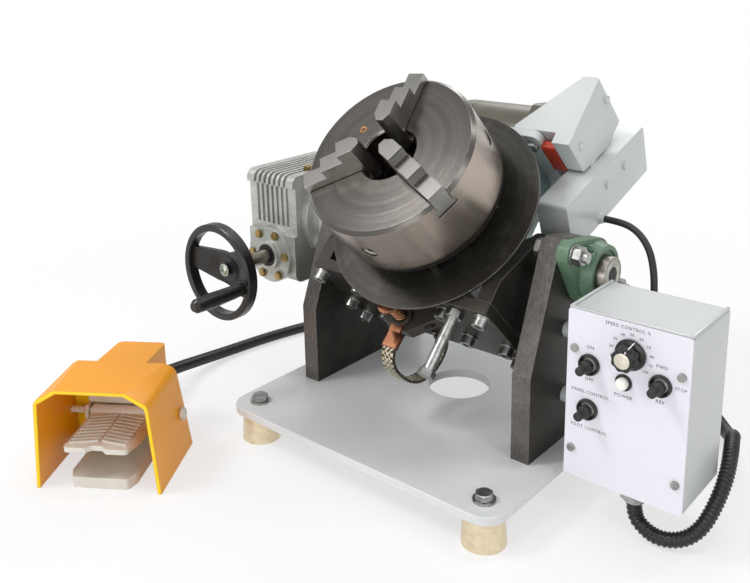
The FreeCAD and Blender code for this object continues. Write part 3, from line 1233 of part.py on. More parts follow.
STRAP_X = (-6.0, 12.0)
STRAP_THICK = 3.0
STRAP_ROUTE = [(0, -150, 35.2), (0, -161, 35.0), (0, -171, 29), (0, -177, 16), (0, -178, -2),
               (0, -176, -21),
               (0, -168, -38), (0, -154, -51), (0, -137, -58), (0, -121, -58), (0, -109.5, -54),
               (0, -106.5, -45),
               (0, -106.5, -36)]


def ground_strap():
    """Crimp lug under the washer, and the flat strap that comes back to the cradle plate."""
    eye = rod("z", BRUSH_AT, 11, (HOLDER_TOP, HOLDER_TOP + LUG_THICK))
    tail = block((-8, 8), (-BRUSH_OUT - 22, -BRUSH_OUT - 4), (HOLDER_TOP, HOLDER_TOP + LUG_THICK))
    lug = eye.fuse(tail).cut(rod("z", BRUSH_AT, SPRING_WELL_R, (HOLDER_TOP, HOLDER_TOP + LUG_THICK)))
    crimp = flat("y", oblong((STRAP_X[0] - 1.5, 31.6), (STRAP_X[1] + 1.5, 38.6)),
                 (-160, -BRUSH_OUT - 20), 2.5)
    return lug, crimp


def strap_band():
    path, radii = cord_path(STRAP_ROUTE)
    band = path.makeOffset2D(-STRAP_THICK / 2, 0, True, True)
    other = path.makeOffset2D(STRAP_THICK / 2, 0, True, True)
    solids = []
    for face in (band, other):
        solid = face.extrude(V(STRAP_X[1] - STRAP_X[0], 0, 0))
        solid.translate(V(STRAP_X[0], 0, 0))
        solids.append(solid)
    strap = solids[0].fuse(solids[1]).removeSplitter()
    print("ground_strap length", round(path.Length, 1), "radii", [round(r) for r in radii])
    return strap


def strap_parts():
    lug, crimp = ground_strap()
    band = strap_band()
    clamp = rod("y", (3, -44), 6, (CRADLE_FRONT - 7, CRADLE_FRONT - STRAP_THICK))
    return group(lug, crimp.cut(band).cut(lug), band.cut(clamp), clamp)


def ground_brush():
    """Copper rod with its contact pad, the washer that the spring presses, and a ring that keeps it in."""
    pad_top = DISC_LOW - SLIDE_GAP
    rod_ = rod("z", BRUSH_AT, BRUSH_ROD_R, (HOLDER_LOW - 10, 71))
    pad = turned([(0, 70), (6.5, 70), (7.2, 71), (7.2, pad_top - 0.6), (6.6, pad_top), (0, pad_top)],
                 "z", BRUSH_AT)
    washer = rod("z", BRUSH_AT, BRUSH_WASHER_R, PRESS_WASHER)
    ring = rod("z", BRUSH_AT, 6.5, (HOLDER_LOW - 8, HOLDER_LOW - 5))
    return rod_.fuse([pad, washer, ring])


def brush_spring():
    low = REST_WASHER[1] - 0.2
    coil = tube("z", BRUSH_AT, BRUSH_SPRING_R, BRUSH_SPRING_R - 2.2, (low, PRESS_WASHER[0]))
    return coil


# Spindle, spatter disc and chuck

SPINDLE_FLANGE = (DISC_LOW - SPINDLE_FLANGE_THICK, DISC_LOW)
HUB_OUTER_R = 52.0
STUD_ANGLES = [302.3 + 120 * i for i in range(3)]
PINION_Z = 148.0
PINION_INNER = 62.0
PINION_OUTER = 98.0
SCROLL_SPAN = (158.0, 165.0)
SLOT_FLOOR = 165.5
LIP_TOP = 172.0
COVER_TOP = 137.0
CAVITY_R = 88.0
SLEEVE_R = 38.0


def around(shape, angle):
    copy = shape.copy()
    copy.rotate(V(0, 0, 0), AXES["z"], angle)
    return copy


def spindle_shaft():
    """Hollow spindle with its front flange, and the worm wheel keyed on it."""
    shaft = rod("z", (0, 0), SPINDLE_R, (REDUCER_LOW - 8, SPINDLE_FLANGE[0]))
    flange = rod("z", (0, 0), SPINDLE_FLANGE_R, SPINDLE_FLANGE)
    low = INPUT_LOW - SPINDLE_WHEEL_WIDTH / 2
    wheel = rod("z", (0, 0), SPINDLE_WHEEL_R, (low, low + SPINDLE_WHEEL_WIDTH))
    gap = 0.42 * 2 * math.pi * SPINDLE_WHEEL_R / SPINDLE_TEETH
    slot = block((SPINDLE_WHEEL_R - 4, SPINDLE_WHEEL_R + 1), (-gap / 2, gap / 2),
                 (low, low + SPINDLE_WHEEL_WIDTH))
    wheel = wheel.cut([around(slot, 360 * (i + 0.5) / SPINDLE_TEETH) for i in range(SPINDLE_TEETH)])
    wheel = wheel.cut(rod("z", (0, 0), SPINDLE_R, (low, low + SPINDLE_WHEEL_WIDTH)))
    ring = tube("z", (0, 0), SPINDLE_R + 8, SPINDLE_R, (REDUCER_LOW - 7, REDUCER_LOW - 1))
    shaft = shaft.fuse(flange).cut(rod("z", (0, 0), SPINDLE_BORE_R, (REDUCER_LOW - 8, DISC_LOW)))
    return group(shaft, wheel, ring)


def spatter_disc():
    return tube("z", (0, 0), DISC_R, SPINDLE_BORE_R, (DISC_LOW, DISC_TOP))


def chuck_backplate():
    """Adaptor plate with its hub, three studs and the lock screw, and the chuck's back cover."""
    ring = (CHUCK_LOW - BACKPLATE_THICK, CHUCK_LOW)
    plate = turned([(SPINDLE_BORE_R, DISC_TOP), (HUB_OUTER_R, DISC_TOP), (HUB_OUTER_R, ring[0]),
                    (BACKPLATE_R - 1, ring[0]), (BACKPLATE_R, ring[0] + 1), (BACKPLATE_R, ring[1]),
                    (CHUCK_BORE_R, ring[1]), (SPINDLE_BORE_R, ring[0])])
    studs = []
    for angle in STUD_ANGLES:
        at = ring_points(1, STUD_CIRCLE_R, angle)[0]
        studs.append(rod("z", at, STUD_R, (DISC_TOP, ring[0])))
    lock_at = (80.0, 13.0)
    lock = socket_screw("z", lock_at, 3, DISC_TOP, DISC_TOP + 5, DISC_TOP + 1)
    cover = tube("z", (0, 0), CAVITY_R, CHUCK_BORE_R, (CHUCK_LOW, COVER_TOP))
    return group(plate, cover, lock, *studs)


def slot_cutter(play):
    """The T shaped slot of one jaw along +X, with 'play' taken off every side."""
    half = SLOT_WIDTH / 2 - play
    neck = JAW_WIDTH / 2 - play + 0.5
    low, high = SLOT_FLOOR + play, CHUCK_TOP + 40
    lips = block((0, CHUCK_R + 30), (-half, half), (low, LIP_TOP - play))
    return lips.fuse(block((0, CHUCK_R + 30), (-neck, neck), (low, high)))


def chuck_body():
    body = turned([(CHUCK_BORE_R, CHUCK_LOW), (CHUCK_R - 1, CHUCK_LOW), (CHUCK_R, CHUCK_LOW + 1),
                   (CHUCK_R, CHUCK_TOP - 4), (CHUCK_R - 4, CHUCK_TOP), (CHUCK_BORE_R + 2, CHUCK_TOP),
                   (CHUCK_BORE_R, CHUCK_TOP - 2)])
    body = body.cut(rod("z", (0, 0), CAVITY_R, (CHUCK_LOW, COVER_TOP)))
    body = body.cut(tube("z", (0, 0), CAVITY_R, SLEEVE_R, (COVER_TOP, SLOT_FLOOR)))
    for angle in JAW_ANGLES:
        body = body.cut(around(slot_cutter(0), angle))
        bore = rod("x", (0, PINION_Z), PINION_R - 1 + RUNNING_FIT, (CAVITY_R - 8, CHUCK_R + 1))
        body = body.cut(around(bore, angle - 60))
    return body


def scroll_plate():
    return tube("z", (0, 0), CAVITY_R - 0.2, SLEEVE_R + RUNNING_FIT, SCROLL_SPAN)


def chuck_pinion(angle):
    """Key pinion with a square socket."""
    body = rod("x", (0, PINION_Z), PINION_R - 1, (PINION_INNER, PINION_OUTER))
    socket = block((PINION_OUTER - 14, PINION_OUTER), (-5, 5), (PINION_Z - 5, PINION_Z + 5))
    rim = taper("x", (0, PINION_Z), 6.5, 8, (PINION_OUTER - 1.5, PINION_OUTER))
    return around(body.cut(socket).cut(rim), angle)


JAW_INNER = 18.0
JAW_OUTER = 98.0
JAW_STEPS = ((44.0, 34.0), (70.0, 22.0), (JAW_OUTER, 10.0))


def jaw(angle):
    """Stepped jaw: tallest at the middle of the chuck, with a wedge tip and lips that ride in the slot."""
    half = JAW_WIDTH / 2
    low = SLOT_FLOOR + SLIDE_GAP
    profile = [(JAW_INNER, low)]
    reach = JAW_INNER
    for end, rise in JAW_STEPS:
        profile += [(reach, CHUCK_TOP + rise), (end, CHUCK_TOP + rise)]
        reach = end
    profile.append((JAW_OUTER, low))
    body = flat("y", profile, (-half + SLIDE_GAP, half - SLIDE_GAP))
    tip = flat("z", [(JAW_INNER, -4), (JAW_INNER + 9, -half), (JAW_OUTER, -half), (JAW_OUTER, half),
                     (JAW_INNER + 9, half), (JAW_INNER, 4)], (low - 1, CHUCK_TOP + 60))
    lips = block((JAW_INNER + 9, JAW_OUTER), (-SLOT_WIDTH / 2 + SLIDE_GAP, SLOT_WIDTH / 2 - SLIDE_GAP),
                 (low, LIP_TOP - SLIDE_GAP))
    piece = body.common(tip).fuse(lips)
    teeth = []
    for end, rise in JAW_STEPS[:2]:
        for i in range(4):
            z0 = CHUCK_TOP + rise - 3 - i * 2.6
            teeth.append(block((end - 0.8, end + 0.1), (-half, half), (z0 - 0.9, z0)))
    return around(piece.cut(teeth), angle)


def build():
    keep("base_plate", base_plate())
    keep("feet", feet())
    keep("stand_screws", group(base_screws(), bearing_bolts()))
    keep("left_side_plate", side_plate(-1))
    keep("right_side_plate", side_plate(1))
    keep("gearbox_housing", gearbox_housing())
    keep("gearbox_flange", gearbox_flange())
    keep("input_cover", input_cover())
    keep("gearbox_screws", gearbox_screws())
    keep("worm_shaft", worm_shaft())
    keep("handwheel", handwheel())
    keep("handwheel_handle", handwheel_handle())
    keep("bearing_housing", bearing_housing())
    keep("control_box", control_box())
    keep("control_panel", control_panel())
    keep("box_fittings", box_fittings())
    keep("box_bracket", box_bracket())
    keep("speed_knob", speed_knob())
    for number, at in enumerate(TOGGLE_PLACES, 1):
        keep("toggle_%d" % number, toggle(at))
    keep("pedal_base", pedal_base())
    keep("pedal_hood", pedal_hood())
    keep("pedal_treadle", pedal_treadle())
    keep("flex_conduit", flex_conduit())
    keep("motor_cable", motor_cable())

    keep_tilted("left_arm", arm(-1))
    keep_tilted("right_arm", arm(1))
    keep_tilted("cradle_plate", cradle_plate())
    keep_tilted("cradle_screws", cradle_screws())
    keep_tilted("left_trunnion", left_trunnion())
    keep_tilted("right_trunnion", right_trunnion())
    keep_tilted("worm_wheel", worm_wheel())
    keep_tilted("reducer_housing", reducer_housing())
    keep_tilted("motor_plate", motor_plate())
    keep_tilted("motor", motor())
    keep_tilted("motor_gearhead", motor_gearhead())
    keep_tilted("drive_belt", drive_belt())
    keep_tilted("motor_pulley", pulley(MOTOR_AT, 7, (44, PULLEY_X[1] + 4)))
    keep_tilted("driven_pulley", pulley(DRIVE_AT, DRIVE_SHAFT_R, (-56, PULLEY_X[1] + 4), True))
    keep_tilted("belt_guard_lower", belt_guard_lower())
    keep_tilted("belt_guard_upper", belt_guard_upper())
    keep_tilted("drive_screws", drive_screws())
    keep_tilted("tension_block", tension_block())
    keep_tilted("ground_bolt", ground_bolt())
    keep_tilted("brush_holder", brush_holder())
    keep_tilted("ground_strap", strap_parts())
    keep_tilted("ground_brush", ground_brush())
    keep_tilted("brush_spring", brush_spring())

    keep_tilted("spindle_shaft", spindle_shaft())
    keep_tilted("spatter_disc", spatter_disc())
    keep_tilted("chuck_backplate", chuck_backplate())
    keep_tilted("chuck_body", chuck_body())
    keep_tilted("scroll_plate", scroll_plate())
    for number, angle in enumerate(JAW_ANGLES, 1):
        keep_tilted("jaw_%d" % number, jaw(angle))
        keep_tilted("chuck_pinion_%d" % number, chuck_pinion(angle - 60))

    os.makedirs("parts", exist_ok=True)
    for name, shape in SUBPARTS.items():
        if not shape.isValid() or not shape.Solids:
            raise ValueError("bad shape: " + name)
        shape.exportStep("parts/%s.step" % name)
    print(len(SUBPARTS), "sub-parts")


build()
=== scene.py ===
"""Looks of the welding positioner: camera, light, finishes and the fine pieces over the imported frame.

Metres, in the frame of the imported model: X from the handwheel gearbox to the flange bearing, Y to the
back, Z up from the bench. The tilting unit is drawn upright, then leant and lifted by LEANT.
"""
import bmesh
import bpy
import math
from mathutils import Euler, Matrix, Vector


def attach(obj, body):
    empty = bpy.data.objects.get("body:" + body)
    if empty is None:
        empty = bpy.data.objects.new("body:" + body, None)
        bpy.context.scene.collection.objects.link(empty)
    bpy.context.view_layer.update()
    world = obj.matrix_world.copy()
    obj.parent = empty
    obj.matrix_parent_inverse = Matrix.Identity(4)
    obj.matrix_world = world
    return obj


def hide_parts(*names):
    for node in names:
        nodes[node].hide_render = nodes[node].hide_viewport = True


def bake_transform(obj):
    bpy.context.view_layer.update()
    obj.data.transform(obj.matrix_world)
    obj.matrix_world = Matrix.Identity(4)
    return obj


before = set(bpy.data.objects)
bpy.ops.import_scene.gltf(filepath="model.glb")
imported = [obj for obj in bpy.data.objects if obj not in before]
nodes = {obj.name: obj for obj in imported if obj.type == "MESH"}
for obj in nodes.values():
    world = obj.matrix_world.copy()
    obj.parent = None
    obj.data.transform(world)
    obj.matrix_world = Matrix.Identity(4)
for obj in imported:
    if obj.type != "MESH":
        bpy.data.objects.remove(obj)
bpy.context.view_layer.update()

QUARTER = math.radians(90)
TILT_HEIGHT = 0.234
LEAN = math.radians(45)
LEANT = Matrix.Translation((0, 0, TILT_HEIGHT)) @ Matrix.Rotation(LEAN, 4, "X")
PEDAL = Matrix.Translation((-0.2152, -0.3812, 0)) @ Matrix.Rotation(math.radians(33.5), 4, "Z")


def span(node, axis):
    """The lowest and highest place of a node along an axis: 0 for X, 1 for Y, 2 for Z."""
    places = [v.co[axis] for v in nodes[node].data.vertices]
    return min(places), max(places)


def middle(node):
    """The X and Z in the middle of a node, for pieces whose own axis runs along Y."""
    return sum(span(node, 0)) / 2, sum(span(node, 2)) / 2


WHEEL_X, WHEEL_Z = middle("handwheel")


# Camera and light

# The camera's turns about X, Y and Z are in degrees
CAMERA_PLACE = (0.600389, -0.846434, 0.574107)
CAMERA_TURN = (75.6914, 1.1412, 40.5886)
SKY_STRENGTH = 0.42
GLOSSY_SHARE = 0.5


def make_camera():
    """The photograph's viewing angle, slightly to the right and above."""
    data = bpy.data.cameras.new("camera")
    data.sensor_width = 36
    data.lens = 43.44
    data.shift_y = -0.1487
    camera = bpy.data.objects.new("camera", data)
    turn = Euler([math.radians(degrees) for degrees in CAMERA_TURN])
    camera.matrix_world = Matrix.LocRotScale(Vector(CAMERA_PLACE), turn, None)
    bpy.context.collection.objects.link(camera)
    bpy.context.scene.camera = camera


def make_softbox(name, place, aim, size, power):
    """A square area lamp at a place, turned to a point."""
    data = bpy.data.lights.new(name, "AREA")
    data.shape = "RECTANGLE"
    data.size, data.size_y = size
    data.energy = power
    lamp = bpy.data.objects.new(name, data)
    lamp.location = place
    lamp.rotation_mode = "QUATERNION"
    lamp.rotation_quaternion = (Vector(aim) - Vector(place)).to_track_quat("-Z", "Y")
    bpy.context.collection.objects.link(lamp)


def make_world():
    """Soft light from all round; straight views see a white studio, and reflections a part of it."""
    world = bpy.data.worlds.new("studio")
    world.use_nodes = True
    tree = world.node_tree
    tree.nodes.clear()
    seen = tree.nodes.new("ShaderNodeBackground")
    seen.inputs["Color"].default_value = (1, 1, 1, 1)
    seen.inputs["Strength"].default_value = 1.0
    light = tree.nodes.new("ShaderNodeBackground")
    light.inputs["Color"].default_value = (0.97, 0.98, 1.0, 1)
    light.inputs["Strength"].default_value = SKY_STRENGTH
    path = tree.nodes.new("ShaderNodeLightPath")
    either = tree.nodes.new("ShaderNodeMath")
    either.operation = "MAXIMUM"
    tree.links.new(path.outputs["Is Camera Ray"], either.inputs[0])
    tree.links.new(path.outputs["Is Transmission Ray"], either.inputs[1])
    glossy = tree.nodes.new("ShaderNodeMath")
    glossy.operation = "MULTIPLY_ADD"
    glossy.inputs[1].default_value = GLOSSY_SHARE
    glossy.use_clamp = True
    tree.links.new(path.outputs["Is Glossy Ray"], glossy.inputs[0])
    tree.links.new(either.outputs[0], glossy.inputs[2])
    mix = tree.nodes.new("ShaderNodeMixShader")
    tree.links.new(glossy.outputs[0], mix.inputs["Fac"])
    tree.links.new(light.outputs[0], mix.inputs[1])
    tree.links.new(seen.outputs[0], mix.inputs[2])
    output = tree.nodes.new("ShaderNodeOutputWorld")
    tree.links.new(mix.outputs[0], output.inputs["Surface"])
    bpy.context.scene.world = world


make_camera()
make_softbox("key_light", (-1.0, -1.3, 2.1), (0, 0, 0.2), (0.7, 0.7), 24)
make_softbox("side_light", (1.9, -0.6, 1.3), (0, 0, 0.2), (0.5, 1.6), 9)
make_softbox("back_light", (-0.5, 1.8, 1.7), (0, 0, 0.25), (1.6, 0.5), 15)
make_softbox("top_strip", (0.25, 0.2, 2.0), (0, 0, 0.3), (0.3, 1.5), 9)
make_softbox("front_fill", (0.3, -2.2, 0.5), (0.05, 0, 0.2), (1.8, 0.6), 13)
make_world()
bpy.context.scene.view_settings.view_transform = "Standard"


# Shader maths: an expression on Values adds the nodes that work it out

class Value:
    """One number that changes over a surface, as a shader socket."""

    def __init__(self, finish, socket):
        self.finish = finish
        self.socket = socket

    def maths(self, operation, *others, clamp=False):
        """A Math node on this value and the others."""
        node = self.finish.add("ShaderNodeMath", {"operation": operation, "use_clamp": clamp})
        for number, value in enumerate((self,) + others):
            self.finish.feed(node.inputs[number], value)
        return Value(self.finish, node.outputs[0])

    def __add__(self, other):
        return self.maths("ADD", other)

    __radd__ = __add__

    def __mul__(self, other):
        return self.maths("MULTIPLY", other)

    __rmul__ = __mul__

    def __sub__(self, other):
        return self.maths("SUBTRACT", other)

    def __rsub__(self, other):
        return self.finish.number(other).maths("SUBTRACT", self)

    def clamped(self):
        """This value, kept from 0 to 1."""
        return self.maths("ADD", 0.0, clamp=True)

    def spread(self, low, high):
        """low where this is 0, high where it is 1."""
        return self * (high - low) + low

    def between(self, low, high):
        """0 where this is low, 1 where it is high, straight between."""
        return self.maths("SUBTRACT", low).maths("DIVIDE", high - low, clamp=True)


class Finish:
    """One procedural material, built from Object coordinates."""

    def __init__(self, name):
        self.material = bpy.data.materials.new(name)
        self.material.use_nodes = True
        self.tree = self.material.node_tree
        self.shader = self.tree.nodes["Principled BSDF"]
        self.coordinates = self.add("ShaderNodeTexCoord").outputs["Object"]

    def add(self, kind, settings=None, **sockets):
        """A node of a kind, with its settings first, then its sockets' values or links."""
        node = self.tree.nodes.new(kind)
        for name, value in (settings or {}).items():
            setattr(node, name, value)
        for name, value in sockets.items():
            self.feed(node.inputs[name.replace("_", " ")], value)
        return node

    def feed(self, socket, value):
        """A link or a plain value into a socket."""
        if isinstance(value, Value):
            value = value.socket
        if isinstance(value, bpy.types.NodeSocket):
            self.tree.links.new(value, socket)
        else:
            socket.default_value = value

    def number(self, value):
        """A plain number as a Value."""
        node = self.add("ShaderNodeMath", {"operation": "ADD"})
        node.inputs[0].default_value = value
        node.inputs[1].default_value = 0.0
        return Value(self, node.outputs[0])

    def place(self, centre=(0, 0, 0), turn=(0, 0, 0), stretch=(1, 1, 1)):
        """Object coordinates measured from a centre, in turned axes, then stretched."""
        about = self.add("ShaderNodeMapping", {"vector_type": "TEXTURE"}, Vector=self.coordinates,
                         Location=centre, Rotation=turn)
        if stretch == (1, 1, 1):
            return about.outputs[0]
        return self.add("ShaderNodeMapping", Vector=about.outputs[0], Scale=stretch).outputs[0]

    def noise(self, where, scale, detail=2.0, roughness=0.5):
        """Cloudy noise from about 0.2 to 0.8, with scale clouds to the metre."""
        node = self.add("ShaderNodeTexNoise", None, Vector=where, Scale=scale, Detail=detail,
                        Roughness=roughness)
        return Value(self, node.outputs[0])

    def split(self, where):
        """The three parts of a vector as Values."""
        node = self.add("ShaderNodeSeparateXYZ", None, Vector=where)
        return [Value(self, output) for output in node.outputs]

    def join(self, x, y, z=0.0):
        """A vector from three parts."""
        return self.add("ShaderNodeCombineXYZ", None, X=x, Y=y, Z=z).outputs[0]

    def mixed(self, share, first, second):
        """A colour between two, by a share from 0 to 1; inputs 6 and 7 are the node's colours."""
        node = self.add("ShaderNodeMix", {"data_type": "RGBA"})
        self.feed(node.inputs[0], share)
        self.feed(node.inputs[6], first)
        self.feed(node.inputs[7], second)
        return node.outputs[2]

    def edges(self, radius, low=0.02, high=0.35):
        """Near 1 along the edges of the form, with the softened normal."""
        soft = self.add("ShaderNodeBevel", {"samples": 4}, Radius=radius).outputs[0]
        true = self.add("ShaderNodeNewGeometry").outputs["Normal"]
        dot = self.add("ShaderNodeVectorMath", {"operation": "DOT_PRODUCT"})
        self.feed(dot.inputs[0], soft)
        self.feed(dot.inputs[1], true)
        return (1.0 - Value(self, dot.outputs["Value"])).between(low, high), soft

    def vector(self, operation, first, second=None, scale=None):
        """Vector maths on links or plain triples."""
        node = self.add("ShaderNodeVectorMath", {"operation": operation})
        self.feed(node.inputs[0], first)
        if second is not None:
            self.feed(node.inputs[1], second)
        if scale is not None:
            self.feed(node.inputs["Scale"], scale)
        return node.outputs["Vector"]

    def facing(self, direction):
        """How far the surface faces a fixed direction of the room: 1 straight at it."""
        node = self.add("ShaderNodeVectorMath", {"operation": "DOT_PRODUCT"})
        self.feed(node.inputs[0], self.add("ShaderNodeNewGeometry").outputs["Normal"])
        self.feed(node.inputs[1], direction)
        return Value(self, node.outputs["Value"])

    def bump(self, height, depth, strength, under=None):
        """The normal of a relief of some depth, over another normal if given."""
        node = self.add("ShaderNodeBump", None, Height=height, Distance=depth, Strength=strength)
        if under is not None:
            self.feed(node.inputs["Normal"], under)
        return node.outputs[0]

    def finished(self, colour, roughness, metallic=0.0, normal=None, coat=0.0, coat_roughness=0.1):
        """The material, with the shader's sockets fed."""
        self.feed(self.shader.inputs["Base Color"], colour)
        self.feed(self.shader.inputs["Roughness"], roughness)
        self.feed(self.shader.inputs["Metallic"], metallic)
        self.shader.inputs["Coat Weight"].default_value = coat
        self.shader.inputs["Coat Roughness"].default_value = coat_roughness
        if normal is not None:
            self.feed(self.shader.inputs["Normal"], normal)
        return self.material


def shade(red, green, blue):
    """A colour given as it is seen on a screen, 0 to 255, as linear light."""
    seen = [value / 255 for value in (red, green, blue)]
    linear = [v / 12.92 if v <= 0.04045 else ((v + 0.055) / 1.055) ** 2.4 for v in seen]
    return (*linear, 1.0)


def paler(colour, steps):
    """A screen colour made lighter."""
    return tuple(min(255, value + steps) for value in colour)


# Finishes

def make_black_steel(name="black_steel", sawn=0.0):
    """Hot finished steel plate, blacked: brown and grey clouds, fine scratches, worn bright edges.

    The sawn share bares the faces that don't look along X, where the saw left them grey.
    """
    finish = Finish(name)
    here = finish.place()
    cloud = finish.noise(here, 22, 5, 0.62)
    patch = finish.noise(here, 5, 2)
    streak = finish.noise(finish.place(turn=(0.3, 0.2, 0.5), stretch=(30, 4, 260)), 1, 2)
    grain = finish.noise(here, 900, 2)
    edge, soft = finish.edges(0.0012)
    brown = (cloud * 0.7 + patch * 0.5).between(0.42, 0.78)
    tone = finish.mixed(brown, shade(34, 32, 28), shade(66, 62, 55))
    tone = finish.mixed(streak.between(0.66, 0.84) * 0.25, tone, shade(104, 100, 92))
    if sawn:
        sideways = finish.split(finish.add("ShaderNodeNewGeometry").outputs["Normal"])[0].maths("ABSOLUTE")
        scratch = finish.noise(finish.place(stretch=(500, 160, 160)), 1, 4, 0.7)
        scuff = (scratch * 0.7 + cloud * 0.5).between(0.4, 0.85)
        scuffed = finish.mixed(scuff, shade(78, 75, 72), shade(146, 142, 138))
        tone = finish.mixed((1.0 - sideways).between(0.35, 0.6) * sawn, tone, scuffed)
    tone = finish.mixed((edge * (cloud + 0.35)).clamped() * 0.8, tone, shade(158, 152, 142))
    normal = finish.bump(cloud * 0.6 + grain * 0.3, 0.0006, 0.5, soft)
    return finish.finished(tone, 0.34 + cloud * 0.22, 0.55, normal)


def make_turned_steel(name, dark, light, low, high, tilt=0.16, metal=1.0, leaning=True, smudge=0.0,
                      flank_reflection=None):
    """Steel off the lathe: fine grooves round the axis, which draw the light into rays.

    The axis is the leaning spindle, or runs along X. The flank colour is a painted reflection: what faces
    away from the axis is made paler, as if it mirrored the bright floor.
    """
    finish = Finish(name)
    lean = {"centre": (0, 0, TILT_HEIGHT), "turn": (LEAN, 0, 0)} if leaning else {}
    x, y, z = finish.split(finish.place(**lean))
    radius = (x * x + y * y).maths("SQRT")
    broad = finish.noise(finish.join(radius, z), 160, 2)
    cloud = finish.noise(finish.place(), 9, 2, 0.5)
    edge, soft = finish.edges(0.0009)
    tone = finish.mixed((cloud * 0.5 + broad * 0.6).between(0.38, 0.76), shade(*dark), shade(*light))
    if smudge:
        stain = finish.noise(finish.place(), 38, 5, 0.7)
        tone = finish.mixed(stain.between(0.5, 0.72) * smudge, tone, shade(*paler(light, 34)))
    axis = (0, -math.sin(LEAN), math.cos(LEAN)) if leaning else (1, 0, 0)
    # Painted reflection: faces turned away from the axis take the paler flank colour
    if flank_reflection is not None:
        side = finish.mixed(cloud.between(0.3, 0.7), shade(*flank_reflection), shade(*paler(flank_reflection, 22)))
        tone = finish.mixed(finish.facing(axis).between(0.2, 0.6), side, tone)
    tone = finish.mixed(edge * 0.75, tone, shade(222, 219, 213))
    from_axis = finish.vector("SUBTRACT", finish.coordinates, (0, 0, TILT_HEIGHT if leaning else WHEEL_Z))
    round_it = finish.vector("NORMALIZE", finish.vector("CROSS_PRODUCT", from_axis, axis))
    across = finish.vector("NORMALIZE", finish.vector("CROSS_PRODUCT", round_it, soft))
    groove = finish.noise(finish.join(radius, z), 9000, 0, 0.5) - 0.5
    turned = finish.vector("SCALE", across, scale=groove * (2 * tilt))
    normal = finish.vector("NORMALIZE", finish.vector("ADD", soft, turned))
    return finish.finished(tone, cloud.spread(low, high), metal, normal)


def make_ground_steel(name, dark, light, low=0.28, high=0.42, scale=260, top=None):
    """Ground or milled steel: fine straight lines, light oxide, and another colour on top if asked."""
    finish = Finish(name)
    lean = finish.place((0, 0, TILT_HEIGHT), (LEAN, 0, 0), (1, 1, 0.06))
    line = finish.noise(lean, scale * 4, 2)
    cloud = finish.noise(finish.place(), 40, 3, 0.5)
    edge, soft = finish.edges(0.0008)
    tone = finish.mixed(cloud.between(0.35, 0.7), shade(*dark), shade(*light))
    if top is not None:
        tone = finish.mixed(finish.facing((0, 0, 1)).between(0.2, 0.6), tone, shade(*top))
    tone = finish.mixed(edge * 0.7, tone, shade(228, 226, 220))
    return finish.finished(tone, cloud.spread(low, high), 1.0, finish.bump(line, 0.0001, 0.3, soft))


def make_plated(name, dark, light, low=0.28, high=0.4):
    """Plated or bare bright metal: soft stains and a little grain."""
    finish = Finish(name)
    here = finish.place()
    cloud = finish.noise(here, 120, 3, 0.6)
    grain = finish.noise(here, 1500, 1)
    edge, soft = finish.edges(0.0006)
    tone = finish.mixed(cloud.between(0.35, 0.68), shade(*dark), shade(*light))
    tone = finish.mixed(edge * 0.35, tone, shade(236, 230, 215))
    return finish.finished(tone, cloud.spread(low, high), 1.0, finish.bump(grain, 0.0002, 0.25, soft))


def make_casting(name, dark, light, low=0.38, high=0.6, metal=0.0, grit=0.0007, coat=0.15, rub_and_highlight=0.45):
    """A painted or shot-blasted casting: rough skin, dirt in the hollows and paler edges, rubbed wear that a
    high rub share turns into a painted highlight.
    """
    finish = Finish(name)
    here = finish.place()
    cloud = finish.noise(here, 28, 4, 0.6)
    skin = finish.noise(here, 420, 3, 0.65)
    edge, soft = finish.edges(0.0016)
    tone = finish.mixed((cloud * 0.6 + skin * 0.5).between(0.4, 0.72), shade(*dark), shade(*light))
    # Paler edges: rubbed wear, and a painted highlight where the rub share is high, as on the pedal's ribs
    tone = finish.mixed(edge * rub_and_highlight, tone, shade(*paler(light, 38)))
    normal = finish.bump(skin + cloud * 0.5, grit, 0.55, soft)
    return finish.finished(tone, cloud.spread(low, high), metal, normal, coat, 0.3)


def make_paint(name, dark, light, low=0.3, high=0.38, peel=0.00025, coat=0.3, radius=0.0012, edge_wear_and_highlight=None,
               rim=None):
    """Powder coat or enamel on sheet and plate: faint orange peel, soft edges, a few rubbed spots.

    The edge colour goes on the edges, as rubbed wear on the pale paints and as a painted highlight on the
    yellow, and on any cut rim that faces the rim direction, as a painted highlight on the side turned to the
    light.
    """
    finish = Finish(name)
    here = finish.place()
    cloud = finish.noise(here, 9, 3)
    peeled = finish.noise(here, 520, 2, 0.4)
    dust = finish.noise(here, 60, 2, 0.5)
    edge, soft = finish.edges(radius)
    tone = finish.mixed(cloud.between(0.3, 0.7), shade(*dark), shade(*light))
    # Painted highlight: faces turned to the rim direction take the brighter edge colour
    if rim is not None:
        tone = finish.mixed(finish.facing(rim).between(0.85, 0.97), tone, shade(*edge_wear_and_highlight))
    # Edges take the edge colour: rubbed wear, and on the yellow a painted highlight
    if edge_wear_and_highlight is not None:
        tone = finish.mixed(edge * (dust * 0.6 + 0.5).clamped(), tone, shade(*edge_wear_and_highlight))
    normal = finish.bump(peeled, peel, 0.4, soft)
    return finish.finished(tone, cloud.spread(low, high), 0.0, normal, coat, 0.15)


def make_moulded(name, dark, light, low=0.35, high=0.55, grain=900, depth=0.0002):
    """Moulded plastic or rubber: fine leather-like grain and a dull sheen."""
    finish = Finish(name)
    here = finish.place()
    cloud = finish.noise(here, 40, 3)
    skin = finish.noise(here, grain, 2)
    edge, soft = finish.edges(0.0010)
    tone = finish.mixed(cloud.between(0.3, 0.7), shade(*dark), shade(*light))
    tone = finish.mixed(edge * 0.3, tone, shade(*paler(light, 30)))
    return finish.finished(tone, cloud.spread(low, high), 0.0, finish.bump(skin, depth, 0.5, soft))


